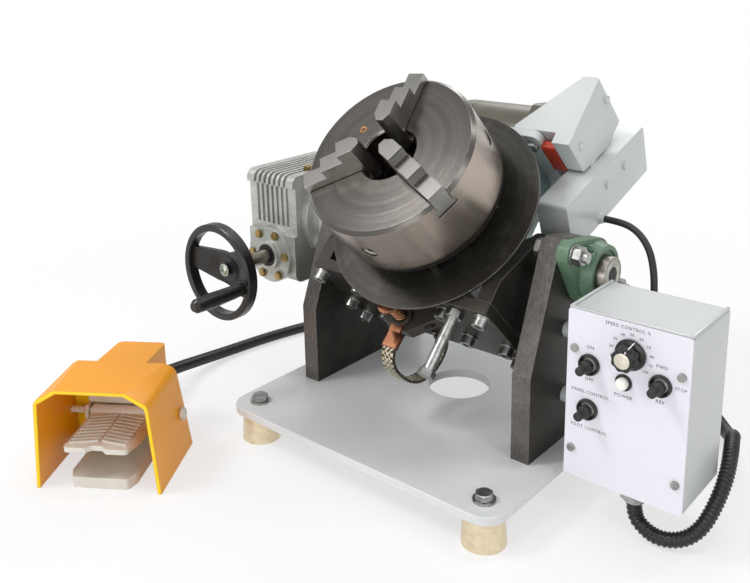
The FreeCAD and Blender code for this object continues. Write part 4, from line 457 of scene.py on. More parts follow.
def make_lamp_lens():
    """The milky cap of the power lamp."""
    finish = Finish("lamp_lens")
    cloud = finish.noise(finish.place(), 300, 2)
    tone = finish.mixed(cloud, shade(238, 236, 228), shade(252, 250, 244))
    return finish.finished(tone, 0.15, 0.0, finish.bump(cloud, 0.0002, 0.2), 0.6, 0.05)


def make_ink():
    """Screen-printed black lettering, slightly raised and uneven."""
    finish = Finish("panel_ink")
    cloud = finish.noise(finish.place(), 700, 3)
    tone = finish.mixed(cloud.between(0.35, 0.7), shade(24, 24, 28), shade(52, 50, 56))
    return finish.finished(tone, 0.5, 0.0, finish.bump(cloud, 0.0001, 0.2))


FINISHES = {
    "base_paint": make_paint("base_paint", (208, 210, 211), (218, 219, 220), peel=0.00009,
                             edge_wear_and_highlight=(224, 225, 226)),
    "grey_paint": make_paint("grey_paint", (196, 201, 201), (208, 212, 211), peel=0.00009, radius=0.002),
    "box_paint": make_paint("box_paint", (188, 191, 190), (196, 199, 198), peel=0.00007, radius=0.0018),
    "panel_white": make_paint("panel_white", (226, 224, 232), (231, 229, 237), 0.3, 0.42, 0.00004, coat=0.15,
                              radius=0.0006),
    # The yellow's bright edges and front rim are a painted highlight
    "yellow_paint": make_paint("yellow_paint", (238, 154, 0), (244, 162, 0), 0.36, 0.46, 0.00012, coat=0.04,
                               radius=0.003, edge_wear_and_highlight=(255, 208, 8), rim=(0.552, -0.834, 0)),
    "olive_paint": make_casting("olive_paint", (74, 69, 56), (96, 90, 74), 0.3, 0.48, grit=0.0004, coat=0.3),
    "teal_casting": make_casting("teal_casting", (104, 136, 134), (132, 164, 160), 0.35, 0.5),
    "green_casting": make_casting("green_casting", (78, 108, 84), (104, 136, 108), 0.35, 0.52),
    "cast_aluminium": make_casting("cast_aluminium", (156, 158, 152), (206, 208, 202), 0.28, 0.42, 0.6),
    "holder_brown": make_casting("holder_brown", (52, 48, 42), (78, 72, 62), 0.4, 0.6, 0.3),
    "red_paint": make_moulded("red_paint", (176, 44, 16), (202, 62, 26), 0.4, 0.6),
    "black_oxide": make_black_steel(),
    "zinc": make_plated("zinc", (142, 143, 142), (186, 187, 183), 0.28, 0.42),
    "yellow_zinc": make_plated("yellow_zinc", (138, 114, 66), (186, 162, 108), 0.28, 0.38),
    "foot_brass": make_plated("foot_brass", (222, 204, 170), (236, 222, 194), 0.28, 0.36),
    "copper": make_plated("copper", (112, 72, 52), (148, 102, 78), 0.42, 0.56),
    "shaft_steel": make_ground_steel("shaft_steel", (128, 122, 114), (172, 166, 157)),
    # The chuck's pale flank colour is a painted reflection of the bright floor
    "ground_steel": make_turned_steel("ground_steel", (86, 83, 80), (108, 104, 100), 0.2, 0.26, 0.2,
                                      flank_reflection=(160, 148, 137)),
    "black_plastic": make_moulded("black_plastic", (14, 13, 13), (24, 22, 22), 0.28, 0.36),
    "black_rubber": make_moulded("black_rubber", (26, 26, 26), (42, 41, 40), 0.45, 0.65),
    # The pedal's near-white rib edges are a painted highlight
    "pedal_grey": make_casting("pedal_grey", (208, 203, 192), (222, 217, 206), 0.42, 0.58, grit=0.0002,
                               coat=0.1, rub_and_highlight=0.95),
}
jaw_steel = make_ground_steel("jaw_steel", (168, 165, 160), (196, 193, 188), 0.28, 0.38, scale=180,
                              top=(122, 120, 117))
disc_steel = make_turned_steel("disc_steel", (36, 34, 31), (58, 55, 50), 0.3, 0.44, 0.1, 0.6, smudge=0.35)
bench_shaft_steel = make_turned_steel("bench_shaft_steel", (132, 126, 118), (176, 170, 161), 0.28, 0.36,
                                      leaning=False)
side_plate_steel = make_black_steel("side_plate_steel", sawn=0.65)
wheel_black = make_moulded("wheel_black", (18, 17, 16), (27, 25, 24), 0.28, 0.34, 500, 0.0001)
hub_zinc = make_plated("hub_zinc", (150, 156, 146), (206, 210, 198), 0.28, 0.4)
plug_brass = make_plated("plug_brass", (122, 88, 54), (190, 150, 106), 0.28, 0.4)
deep_black = make_moulded("deep_black", (8, 8, 8), (16, 15, 15), 0.4, 0.6)
lamp_lens = make_lamp_lens()
panel_ink = make_ink()

NODE_FINISHES = {
    "base_paint": ["base_plate"],
    "foot_brass": ["feet"],
    "zinc": ["stand_screws", "cradle_screws", "drive_screws", "ground_bolt", "box_fittings"],
    "yellow_zinc": ["gearbox_screws"],
    "black_oxide": ["left_side_plate", "right_side_plate", "left_arm", "right_arm", "cradle_plate"],
    "cast_aluminium": ["gearbox_housing", "gearbox_flange", "input_cover"],
    "green_casting": ["bearing_housing"],
    "teal_casting": ["reducer_housing"],
    "olive_paint": ["motor", "motor_gearhead"],
    "grey_paint": ["box_bracket", "motor_plate", "belt_guard_lower", "belt_guard_upper"],
    "box_paint": ["control_box"],
    "panel_white": ["control_panel"],
    "yellow_paint": ["pedal_hood"],
    "pedal_grey": ["pedal_base", "pedal_treadle"],
    "black_plastic": ["speed_knob", "flex_conduit"],
    "black_rubber": ["toggle_1", "toggle_2", "toggle_3", "motor_cable", "drive_belt"],
    "red_paint": ["tension_block"],
    "holder_brown": ["brush_holder"],
    "copper": ["ground_strap", "ground_brush", "brush_spring", "worm_wheel"],
    "shaft_steel": ["worm_shaft", "left_trunnion", "right_trunnion", "motor_pulley", "driven_pulley",
                    "spindle_shaft", "scroll_plate", "chuck_pinion_1", "chuck_pinion_2", "chuck_pinion_3"],
    "ground_steel": ["chuck_body"],
}
OWN_FINISHES = {
    "jaw_1": jaw_steel, "jaw_2": jaw_steel, "jaw_3": jaw_steel,
    "spatter_disc": disc_steel, "chuck_backplate": disc_steel, "worm_shaft": bench_shaft_steel,
    "left_side_plate": side_plate_steel, "right_side_plate": side_plate_steel,
    "handwheel": wheel_black, "handwheel_handle": wheel_black,
}


def dress(piece, material):
    """One material over the whole piece."""
    piece.data.materials.clear()
    piece.data.materials.append(material)


for finish_name, node_names in NODE_FINISHES.items():
    for node_name in node_names:
        dress(nodes[node_name], FINISHES[finish_name])
for node_name, material in OWN_FINISHES.items():
    dress(nodes[node_name], material)


# Pieces

def new_piece(name, mesh, body, finish=None):
    """A piece of the object at the origin, riding on a body."""
    piece = bpy.data.objects.new(name, mesh)
    bpy.context.collection.objects.link(piece)
    if finish is not None:
        dress(piece, finish)
    if body is not None:
        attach(piece, body)
    return piece


def new_mesh(name, points, faces, smooth=False):
    """A mesh from points and faces."""
    mesh = bpy.data.meshes.new(name)
    mesh.from_pydata([tuple(p) for p in points], [], faces)
    mesh.update()
    if smooth:
        mesh.shade_smooth()
    return mesh


def facing_front(x, y, z):
    """Turns what is drawn standing on Z = 0 so that it stands out to the front, at a place."""
    return Matrix.Translation((x, y, z)) @ Matrix.Rotation(QUARTER, 4, "X")


class Growth:
    """A Geometry Nodes tree with named inputs for its sizes."""

    def __init__(self, name, **sizes):
        self.tree = bpy.data.node_groups.new(name, "GeometryNodeTree")
        self.tree.interface.new_socket("Form", in_out="INPUT", socket_type="NodeSocketGeometry")
        for size, value in sizes.items():
            kind = "NodeSocketInt" if isinstance(value, int) else "NodeSocketFloat"
            socket = self.tree.interface.new_socket(size, in_out="INPUT", socket_type=kind)
            socket.default_value = value
        self.tree.interface.new_socket("Form", in_out="OUTPUT", socket_type="NodeSocketGeometry")
        self.given = self.tree.nodes.new("NodeGroupInput").outputs

    def add(self, kind, settings=None, inputs=None):
        """A node of a kind, with its settings, and its inputs by name or number."""
        node = self.tree.nodes.new(kind)
        for name, value in (settings or {}).items():
            setattr(node, name, value)
        for key, value in (inputs or {}).items():
            socket = node.inputs[key]
            if isinstance(value, bpy.types.NodeSocket):
                self.tree.links.new(value, socket)
            else:
                socket.default_value = value
        return node

    def maths(self, operation, first, second=0.0):
        """A Math node on two numbers or links."""
        return self.add("ShaderNodeMath", {"operation": operation}, {0: first, 1: second}).outputs[0]

    def end(self, form, material):
        """The tree's last nodes: real geometry with its material."""
        real = self.add("GeometryNodeRealizeInstances", None, {0: form}).outputs[0]
        done = self.add("GeometryNodeSetMaterial", None,
                        {"Geometry": real, "Material": material}).outputs[0]
        output = self.tree.nodes.new("NodeGroupOutput")
        self.tree.links.new(done, output.inputs[0])
        return self

    def grow(self, start, name, **sizes):
        """The tree's result on a starting object, as a plain mesh; the starting object is then gone."""
        modifier = start.modifiers.new("growth", "NODES")
        modifier.node_group = self.tree
        for socket in self.tree.interface.items_tree:
            if socket.in_out == "INPUT" and socket.name in sizes:
                modifier[socket.identifier] = sizes[socket.name]
        start.update_tag()
        bpy.context.view_layer.update()
        done = start.evaluated_get(bpy.context.evaluated_depsgraph_get())
        mesh = bpy.data.meshes.new_from_object(done)
        mesh.name = name
        start.modifiers.remove(modifier)
        bpy.data.objects.remove(start)
        return mesh


def new_spline(name, points):
    """A smooth open line that the given points pull into shape."""
    data = bpy.data.curves.new(name, "CURVE")
    data.dimensions = "3D"
    data.resolution_u = 12
    spline = data.splines.new("NURBS")
    spline.points.add(len(points) - 1)
    for place, point in zip(spline.points, points):
        place.co = (*point, 1.0)
    spline.order_u = 3
    spline.use_endpoint_u = True
    line = bpy.data.objects.new(name, data)
    bpy.context.collection.objects.link(line)
    return line


def line_of(line):
    """The points along a spline with no thickness."""
    bpy.context.view_layer.update()
    mesh = bpy.data.meshes.new_from_object(line.evaluated_get(bpy.context.evaluated_depsgraph_get()))
    return [v.co.copy() for v in mesh.vertices]


RINGS_PER_RIB = 6
CONDUIT_ROUTE = [
    (0.271, -0.081, 0.038), (0.271, -0.081, 0.020), (0.286, -0.083, 0.0095), (0.303, -0.086, 0.009),
    (0.321, -0.077, 0.011), (0.333, -0.063, 0.021), (0.3375, -0.042, 0.038), (0.3375, -0.016, 0.056),
    (0.331, 0.012, 0.070), (0.319, 0.050, 0.066), (0.307, 0.092, 0.041), (0.286, 0.138, 0.016),
    (0.255, 0.184, 0.0085), (0.206, 0.228, 0.0085), (0.143, 0.262, 0.0085), (0.066, 0.281, 0.0085),
    (-0.016, 0.284, 0.0085), (-0.101, 0.273, 0.0085), (-0.184, 0.246, 0.0085), (-0.257, 0.202, 0.0085),
    (-0.310, 0.140, 0.0085), (-0.340, 0.068, 0.0085), (-0.358, -0.005, 0.0085), (-0.365, -0.060, 0.009),
    (-0.362, -0.110, 0.015), (-0.352, -0.152, 0.024), (-0.341, -0.184, 0.032),
    (-0.32835, -0.21025, 0.040), (-0.31289, -0.23360, 0.040),
]
CABLE_ROUTE = [
    (0.141, 0.0931, 0.2635), (0.163, 0.0931, 0.2635), (0.184, 0.089, 0.2575), (0.202, 0.080, 0.244),
    (0.213, 0.070, 0.225), (0.219, 0.061, 0.204), (0.222, 0.054, 0.184), (0.222, 0.043, 0.166),
    (0.222, 0.0227, 0.155), (0.222, -0.0016, 0.155),
]
# The strap's route is given in the upright tilting unit
STRAP_ROUTE = [
    (0, -0.150, 0.0352), (0, -0.161, 0.035), (0, -0.171, 0.029), (0, -0.177, 0.016), (0, -0.178, -0.002),
    (0, -0.176, -0.021), (0, -0.168, -0.038), (0, -0.154, -0.051), (0, -0.137, -0.058),
    (0, -0.121, -0.058), (0, -0.1095, -0.054), (0, -0.1065, -0.045), (0, -0.1065, -0.036),
]


def ribbed_hose():
    """Corrugated tube along a line: its radius swings once in each pitch."""
    hose = Growth("ribbed_hose", Radius=0.008, Depth=0.0012, Pitch=0.0045, Sides=20)
    length = hose.add("GeometryNodeCurveLength", None, {0: hose.given["Form"]}).outputs[0]
    ribs = hose.maths("ROUND", hose.maths("DIVIDE", length, hose.given["Pitch"]))
    count = hose.maths("ADD", hose.maths("MULTIPLY", ribs, RINGS_PER_RIB), 1.0)
    line = hose.add("GeometryNodeResampleCurve", None,
                    {"Curve": hose.given["Form"], "Count": count}).outputs[0]
    index = hose.add("GeometryNodeInputIndex").outputs[0]
    swing = hose.maths("COSINE", hose.maths("MULTIPLY", index, math.tau / RINGS_PER_RIB))
    half_depth = hose.maths("MULTIPLY", hose.given["Depth"], 0.5)
    middle_radius = hose.maths("SUBTRACT", hose.given["Radius"], half_depth)
    radius = hose.maths("ADD", middle_radius, hose.maths("MULTIPLY", swing, half_depth))
    line = hose.add("GeometryNodeSetCurveRadius", None, {"Curve": line, "Radius": radius}).outputs[0]
    ring = hose.add("GeometryNodeCurvePrimitiveCircle", None,
                    {"Resolution": hose.given["Sides"], "Radius": 1.0}).outputs[0]
    tube = hose.add("GeometryNodeCurveToMesh", None,
                    {"Curve": line, "Profile Curve": ring, "Scale": radius, "Fill Caps": True})
    return hose.end(tube.outputs[0], FINISHES["black_plastic"])


def make_conduit():
    """Corrugated conduit from the box, round behind the stand, to the pedal."""
    line = new_spline("conduit_line", CONDUIT_ROUTE)
    path = line_of(line)
    mesh = ribbed_hose().grow(line, "flex_conduit_hose")
    mesh.shade_smooth()
    conduit = new_piece("conduit_hose", mesh, "stand")
    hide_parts("flex_conduit")


def make_motor_cable():
    """Smooth cable from the belt guard to the back of the box."""
    line = new_spline("cable_line", CABLE_ROUTE)
    path = line_of(line)
    mesh = ribbed_hose().grow(line, "motor_cable_sheath", Radius=0.004, Depth=0.0, Pitch=0.006, Sides=16)
    mesh.shade_smooth()
    cable = new_piece("cable_sheath", mesh, None, FINISHES["black_rubber"])
    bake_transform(cable)
    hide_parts("motor_cable")


make_conduit()
make_motor_cable()


# Ground strap of woven wire, the brush's coil spring and the thread on the ground bolt

# Half the braid's width, how far its middle stands aside, its wires' height over the core's middle,
# their swing over and under each other, the width of its round edge, and the length of a wire's turn
BRAID_HALF = 0.0086
BRAID_ASIDE = 0.003
BRAID_RISE = 0.0017
BRAID_WEAVE = 0.0003
BRAID_EDGE = 0.0012
BRAID_TURN = 0.040
BRAID_WIRES = 6
BRAID_STEPS = 150
BRUSH_Y = -0.1215
SPRING_WIRE = 0.0011
BOLT_THREAD_END = (0.079, -0.1145, 0.06)

def merged_copy(node):
    """A node's mesh with its loose triangles joined."""
    copy = bmesh.new()
    copy.from_mesh(nodes[node].data)
    bmesh.ops.remove_doubles(copy, verts=copy.verts, dist=1e-6)
    mesh = bpy.data.meshes.new(node + "_merged")
    copy.to_mesh(mesh)
    copy.free()
    mesh.set_sharp_from_angle(angle=math.radians(35))
    return mesh


def make_braid_core():
    """Copper crimp and lug at the top of the strap; below it the core is near black, painted shade in the
    gaps between the wires.
    """
    finish = Finish("braid_core")
    depth, height = finish.split(finish.place((0, 0, TILT_HEIGHT), (LEAN, 0, 0)))[1:]
    crimp = height.between(0.0290, 0.0296) * depth.between(-0.1610, -0.1606)
    cloud = finish.noise(finish.place(), 160, 3, 0.6)
    copper = finish.mixed(cloud.between(0.3, 0.7), shade(112, 72, 50), shade(150, 104, 78))
    # Below the crimp the core is near black: painted shade between the wires
    tone = finish.mixed(crimp, shade(44, 40, 32), copper)
    normal = finish.bump(finish.noise(finish.place(), 700, 2), 0.0002, 0.3, finish.edges(0.0006)[1])
    return finish.finished(tone, 0.34 + cloud * 0.16, crimp * 0.9, normal)


def swept(name, paths, width, height, sides=6):
    """Thin oval wires along paths, each a list of (place, outward direction)."""
    points, faces = [], []
    for path in paths:
        start = len(points)
        for number, (place, out) in enumerate(path):
            ahead = path[min(number + 1, len(path) - 1)][0] - path[max(number - 1, 0)][0]
            side = ahead.cross(out).normalized()
            for step in range(sides):
                turn = math.tau * step / sides
                wide = side * (width / 2 * math.cos(turn))
                points.append(place + wide + out * (height / 2 * math.sin(turn)))
        for number in range(len(path) - 1):
            for step in range(sides):
                a, b = start + number * sides + step, start + number * sides + (step + 1) % sides
                faces.append((a, b, b + sides, a + sides))
        faces.append([start + step for step in reversed(range(sides))])
        faces.append([len(points) - sides + step for step in range(sides)])
    return new_mesh(name, points, faces, True)


def stations_along(path, steps):
    """Evenly spaced stations on a path: (distance from its start, place, direction)."""
    lengths = [0.0]
    for first, second in zip(path, path[1:]):
        lengths.append(lengths[-1] + (second - first).length)
    stations, spot = [], 0
    for number in range(steps + 1):
        along = lengths[-1] * number / steps
        while spot < len(lengths) - 2 and lengths[spot + 1] < along:
            spot += 1
        share = (along - lengths[spot]) / (lengths[spot + 1] - lengths[spot])
        ahead = (path[spot + 1] - path[spot]).normalized()
        stations.append((along, path[spot].lerp(path[spot + 1], share), ahead))
    return stations


def braid_wire(stations, family, wire):
    """One wire wound round the flat core, as (place, outward direction) pairs."""
    across = Vector((1, 0, 0))
    places = []
    for along, centre, ahead in stations:
        phase = (family * along / BRAID_TURN + wire / BRAID_WIRES) % 1.0
        side = 1 if phase < 0.5 else -1
        out = across.cross(ahead).normalized() * side
        x = BRAID_HALF * (4 * phase - 1 if phase < 0.5 else 3 - 4 * phase)
        weave = BRAID_WEAVE * math.cos(math.tau * BRAID_WIRES * along / BRAID_TURN + family * QUARTER)
        rise = BRAID_RISE * min(1.0, (BRAID_HALF - abs(x)) / BRAID_EDGE)
        places.append((centre + across * (BRAID_ASIDE + x) + out * (rise + weave), out))
    return places


def make_braid():
    """Flat tinned braid: two families of wires wound opposite ways round the strap's core."""
    line = new_spline("braid_line", [LEANT @ Vector(p) for p in STRAP_ROUTE])
    stations = stations_along(line_of(line), BRAID_STEPS)
    bpy.data.objects.remove(line)
    wires = [braid_wire(stations, family, wire) for family in (1, -1) for wire in range(BRAID_WIRES)]
    mesh = swept("ground_braid_wires", wires, width=0.0025, height=0.0008)
    new_piece("ground_braid", mesh, "cradle", braid_tin)
    core = new_piece("braid_core", merged_copy("ground_strap"), "cradle", braid_core)
    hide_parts("ground_strap")


def coil_tree():
    """A round wire wound along Z."""
    coil = Growth("coil", Radius=0.0063, Wire=SPRING_WIRE, Height=0.02, Turns=7.0)
    spiral = coil.add("GeometryNodeCurveSpiral", None, {
        "Resolution": 40, "Rotations": coil.given["Turns"], "Start Radius": coil.given["Radius"],
        "End Radius": coil.given["Radius"], "Height": coil.given["Height"]}).outputs[0]
    ring = coil.add("GeometryNodeCurvePrimitiveCircle", None,
                    {"Resolution": 10, "Radius": coil.given["Wire"]}).outputs[0]
    wire = coil.add("GeometryNodeCurveToMesh", None,
                    {"Curve": spiral, "Profile Curve": ring, "Fill Caps": True})
    return coil.end(wire.outputs[0], spring_wire)


def starting_point(name):
    """An empty object for a tree that makes its own form."""
    start = bpy.data.objects.new(name, bpy.data.meshes.new(name))
    bpy.context.collection.objects.link(start)
    return start


def upright_span(node):
    """The lowest and highest place of a node along the spindle, in the upright tilting unit."""
    upright = LEANT.inverted()
    places = [(upright @ v.co).z for v in nodes[node].data.vertices]
    return min(places), max(places)


def make_spring():
    """Coil spring on the brush rod, its end wires inside the plain sleeve's length."""
    low, high = upright_span("brush_spring")
    clear = SPRING_WIRE + 0.0001
    mesh = coil_tree().grow(starting_point("spring_start"), "spring_wire", Height=high - low - 2 * clear)
    mesh.transform(LEANT @ Matrix.Translation((0, BRUSH_Y, low + clear)))
    mesh.shade_smooth()
    spring = new_piece("spring_coil", mesh, "brush")
    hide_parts("brush_spring")


def make_bolt_thread():
    """Rolled thread on the ground bolt, beside its jam nut."""
    mesh = coil_tree().grow(starting_point("thread_start"), "bolt_thread", Radius=0.00585, Wire=0.00042,
                            Height=0.026, Turns=17.0)
    mesh.transform(LEANT @ facing_front(*BOLT_THREAD_END))
    mesh.shade_smooth()
    dress(new_piece("stud_thread", mesh, "cradle"), FINISHES["zinc"])


spring_wire = make_plated("spring_wire", (150, 108, 74), (196, 152, 116), 0.28, 0.4)
braid_tin = make_plated("braid_tin", (176, 170, 146), (216, 210, 186), 0.3, 0.45)
braid_core = make_braid_core()
make_braid()
make_spring()
make_bolt_thread()


# Control panel: lettering, knob, lamp and switch boots

PANEL_Y = span("control_panel", 1)[0]
KNOB_PLACE = middle("speed_knob")
LAMP_PLACE = (0.2633, 0.1714)
SWITCH_PLACES = {"a": middle("toggle_1"), "b": middle("toggle_2"), "c": middle("toggle_3")}
DIAL_START = math.radians(225)
DIAL_STEP = math.radians(27)
DIAL_HALF_WIDTH = 0.0205
DIAL_HALF_HEIGHT = 0.0195
DIGIT_SIZE = 0.0040
DIGIT_DROP = 0.0013
INK_HEIGHT = 0.00004
# Each word with the X of its middle, the Z of its foot and its size
PANEL_WORDS = [
    ("SPEED CONTROL %", 0.2645, 0.2258, 0.0047), ("ON", 0.2274, 0.1955, 0.0048),
    ("OFF", 0.2274, 0.1618, 0.0048), ("FWD", 0.2996, 0.1962, 0.0048), ("REV", 0.2996, 0.1612, 0.0048),
    ("STOP", 0.3185, 0.1795, 0.0044), ("POWER", 0.2633, 0.1552, 0.0050),
    ("PANEL CONTROL", 0.2290, 0.1476, 0.0046), ("FOOT CONTROL", 0.2290, 0.1092, 0.0046),
]


def turned_mesh(name, profile, sides=48, lobes=0, lobe_depth=0.0):
    """A profile of (radius, height) pairs turned about Z, with lobes round the rim where asked."""
    points, faces = [], []
    for radius, height in profile:
        for step in range(sides):
            turn = math.tau * step / sides
            swell = 1 + (lobe_depth * math.cos(lobes * turn) if lobes else 0)
            points.append((radius * swell * math.cos(turn), radius * swell * math.sin(turn), height))
    for row in range(len(profile) - 1):
        for step in range(sides):
            a, b = row * sides + step, row * sides + (step + 1) % sides
            faces.append((a, b, b + sides, a + sides))
    faces.append([step for step in reversed(range(sides))])
    faces.append([(len(profile) - 1) * sides + step for step in range(sides)])
    mesh = new_mesh(name, points, faces, True)
    mesh.set_sharp_from_angle(angle=math.radians(40))
    return mesh


def on_panel(x, z, proud=0.0):
    """Turns a drawn piece to stand out of the panel, at a place on it."""
    return facing_front(x, PANEL_Y - proud, z)


def dial_numbers():
    """The numbers 0 to 100 round the knob, clockwise from the lower left."""
    words = []
    for number in range(11):
        turn = DIAL_START - DIAL_STEP * number
        words.append((str(10 * number), KNOB_PLACE[0] + DIAL_HALF_WIDTH * math.cos(turn),
                      KNOB_PLACE[1] + DIAL_HALF_HEIGHT * math.sin(turn) - DIGIT_DROP, DIGIT_SIZE))
    return words


def make_panel_words():
    """Printed words and dial numbers, as thin raised ink."""
    joined = bmesh.new()
    for word, x, z, size in PANEL_WORDS + dial_numbers():
        data = bpy.data.curves.new("word", "FONT")
        data.body = word
        data.size = size
        data.align_x = "CENTER"
        data.extrude = INK_HEIGHT
        data.space_character = 1.12
        data.resolution_u = 2
        text = bpy.data.objects.new("word", data)
        bpy.context.collection.objects.link(text)
        bpy.context.view_layer.update()
        mesh = bpy.data.meshes.new_from_object(text.evaluated_get(bpy.context.evaluated_depsgraph_get()))
        mesh.transform(on_panel(x, z, INK_HEIGHT + 0.00001))
        joined.from_mesh(mesh)
        bpy.data.objects.remove(text)
    mesh = bpy.data.meshes.new("panel_words")
    joined.to_mesh(mesh)
    joined.free()
    new_piece("panel_words", mesh, "stand", panel_ink)


def make_knob():
    """Fluted knob over its skirt, with a spun metal cap and a white pointer line."""
    body = turned_mesh("knob_body", [(0.0118, 0.0050), (0.0120, 0.0060), (0.0112, 0.0190), (0.0104, 0.0200)],
                       sides=96, lobes=8, lobe_depth=0.055)
    skirt = turned_mesh("knob_skirt", [(0.0150, 0.0016), (0.0155, 0.0022), (0.0152, 0.0036),
                                       (0.0122, 0.0052)])
    cap = turned_mesh("knob_cap", [(0.0076, 0.0198), (0.0078, 0.0203), (0.0070, 0.0206)])
    half = 0.0005
    line = new_mesh("knob_line", [
        (-half, 0.0085, 0.02025), (half, 0.0085, 0.02025), (half, 0.0108, 0.0202),
        (-half, 0.0108, 0.0202), (half, 0.0148, 0.0042), (-half, 0.0148, 0.0042)],
        [(0, 1, 2, 3), (3, 2, 4, 5)])
    turned_to = Matrix.Rotation(math.radians(-18), 4, "Z")
    for name, mesh, material, slot in (
            ("knob_grip", body, FINISHES["black_plastic"], "black_plastic"),
            ("knob_skirt", skirt, FINISHES["black_plastic"], "black_plastic"),
            ("knob_cap", cap, cap_metal, "zinc"), ("knob_pointer", line, lamp_lens, "panel_white")):
        mesh.transform(on_panel(*KNOB_PLACE) @ turned_to)
        piece = new_piece(name, mesh, "knob", material)
        if name == "knob_grip":
            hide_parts("speed_knob")


def make_switch_boots():
    """Rubber skirt round each bush, and the sheath on each lever."""
    rubber = FINISHES["black_rubber"]
    for letter, place in SWITCH_PLACES.items():
        skirt = turned_mesh("boot_skirt", [
            (0.0088, 0.0001), (0.0108, 0.0001), (0.0110, 0.0020), (0.0106, 0.0040), (0.0098, 0.0050),
            (0.0090, 0.0050), (0.0088, 0.0044), (0.0088, 0.0001)])
        skirt.transform(on_panel(*place))
        new_piece("boot_skirt_" + letter, skirt, "stand", rubber)
        sheath = turned_mesh("lever_sheath", [
            (0.0060, 0.0084), (0.0070, 0.0090), (0.0066, 0.0104), (0.0050, 0.0116), (0.0044, 0.0124),
            (0.0043, 0.0190), (0.0046, 0.0196), (0.0044, 0.0216), (0.0030, 0.0230), (0.0008, 0.0235)], 32)
        sheath.transform(on_panel(*place))
        new_piece("lever_sheath_" + letter, sheath, "switch_" + letter, rubber)


def make_lamp():
    """Milky cap in its dark bezel."""
    bezel = turned_mesh("lamp_bezel", [
        (0.0062, 0.0001), (0.0084, 0.0001), (0.0085, 0.0016), (0.0078, 0.0026), (0.0068, 0.0028),
        (0.0062, 0.0020), (0.0062, 0.0001)])
    bezel.transform(on_panel(*LAMP_PLACE))
    new_piece("lamp_bezel", bezel, "stand", FINISHES["black_plastic"])
    cap = turned_mesh("lamp_cap", [
        (0.0060, 0.0010), (0.0061, 0.0052), (0.0059, 0.0070), (0.0052, 0.0083), (0.0036, 0.0091),
        (0.0010, 0.0094)], 40)
    cap.transform(on_panel(*LAMP_PLACE))
    new_piece("lamp_cap", cap, "stand", lamp_lens)


cap_metal = make_plated("cap_metal", (206, 198, 182), (236, 230, 216), 0.28, 0.34)
make_panel_words()
make_knob()
make_switch_boots()
make_lamp()


# Small fittings: hub screw, bearing collar, face plug, enclosure folds and switch housing

COLLAR_SCREW_ANGLE = math.radians(-52)
COLLAR_SCREW_PLACE = (0, -0.01655, -0.0042)
FACE_PLUG_PLACE = (-0.0479, 0.0236, 0.186)
FOLD_WIDTH = 0.0035
SWITCH_FRONT = ((-0.043, 0.0825, 0.0618), (0.043, 0.1035, 0.089))
CROSS_SCREWS = {"left_cross": (0.211, 0.1925), "right_cross": (0.319, 0.1935)}
CROSS_TURNS = (20, 110)


def rounded_block(name, low, high, radius):
    """A block with rounded edges between two corners."""
    block = bmesh.new()
    bmesh.ops.create_cube(block, size=1.0)
    size = [b - a for a, b in zip(low, high)]
    for vert in block.verts:
        vert.co = Vector([a + (c + 0.5) * w for a, c, w in zip(low, vert.co, size)])
    bmesh.ops.bevel(block, geom=block.edges[:], offset=radius, segments=3, profile=0.5, affect="EDGES")
    mesh = bpy.data.meshes.new(name)
    block.to_mesh(mesh)
    block.free()
    mesh.shade_smooth()
    mesh.set_sharp_from_angle(angle=math.radians(40))
    return mesh


def front_of(node, x, z, reach):
    """The lowest Y of a node near an axis along Y."""
    return min(v.co.y for v in nodes[node].data.vertices if math.hypot(v.co.x - x, v.co.z - z) < reach)


def make_hub_screw():
    """Bright screw, domed round a sunk round socket, and washer in the middle of the handwheel."""
    radius, height = 0.0058, 0.0032
    head = turned_mesh("hub_screw", [
        (radius, 0.0), (radius * 1.02, height * 0.5), (radius * 0.8, height * 0.9),
        (radius * 0.46, height), (radius * 0.43, height * 0.95), (radius * 0.4, height * 0.3)])
    washer = turned_mesh("hub_washer", [(0.0082, 0.0), (0.0085, 0.0004), (0.0083, 0.0010), (0.0058, 0.0012)])
    hub_face = front_of("handwheel", WHEEL_X, WHEEL_Z, 0.009)
    for name, mesh in (("hub_screw", head), ("hub_washer", washer)):
        mesh.transform(facing_front(WHEEL_X, hub_face, WHEEL_Z))
        new_piece(name, mesh, "hand_drive", hub_zinc)


def make_shaft_seal():
    """Near black seal round the handwheel shaft in the gearbox's input cover, painted shade for the recess
    round the shaft.
    """
    seal = turned_mesh("shaft_seal_shade", [
        (0.0099, 0.0), (0.0152, 0.0), (0.0150, 0.0007), (0.0136, 0.0011), (0.0116, 0.0006),
        (0.0099, 0.0007), (0.0099, 0.0)])
    seal.transform(facing_front(WHEEL_X, front_of("input_cover", WHEEL_X, WHEEL_Z, 0.014), WHEEL_Z))
    new_piece("shaft_seal_shade", seal, "stand", deep_black)


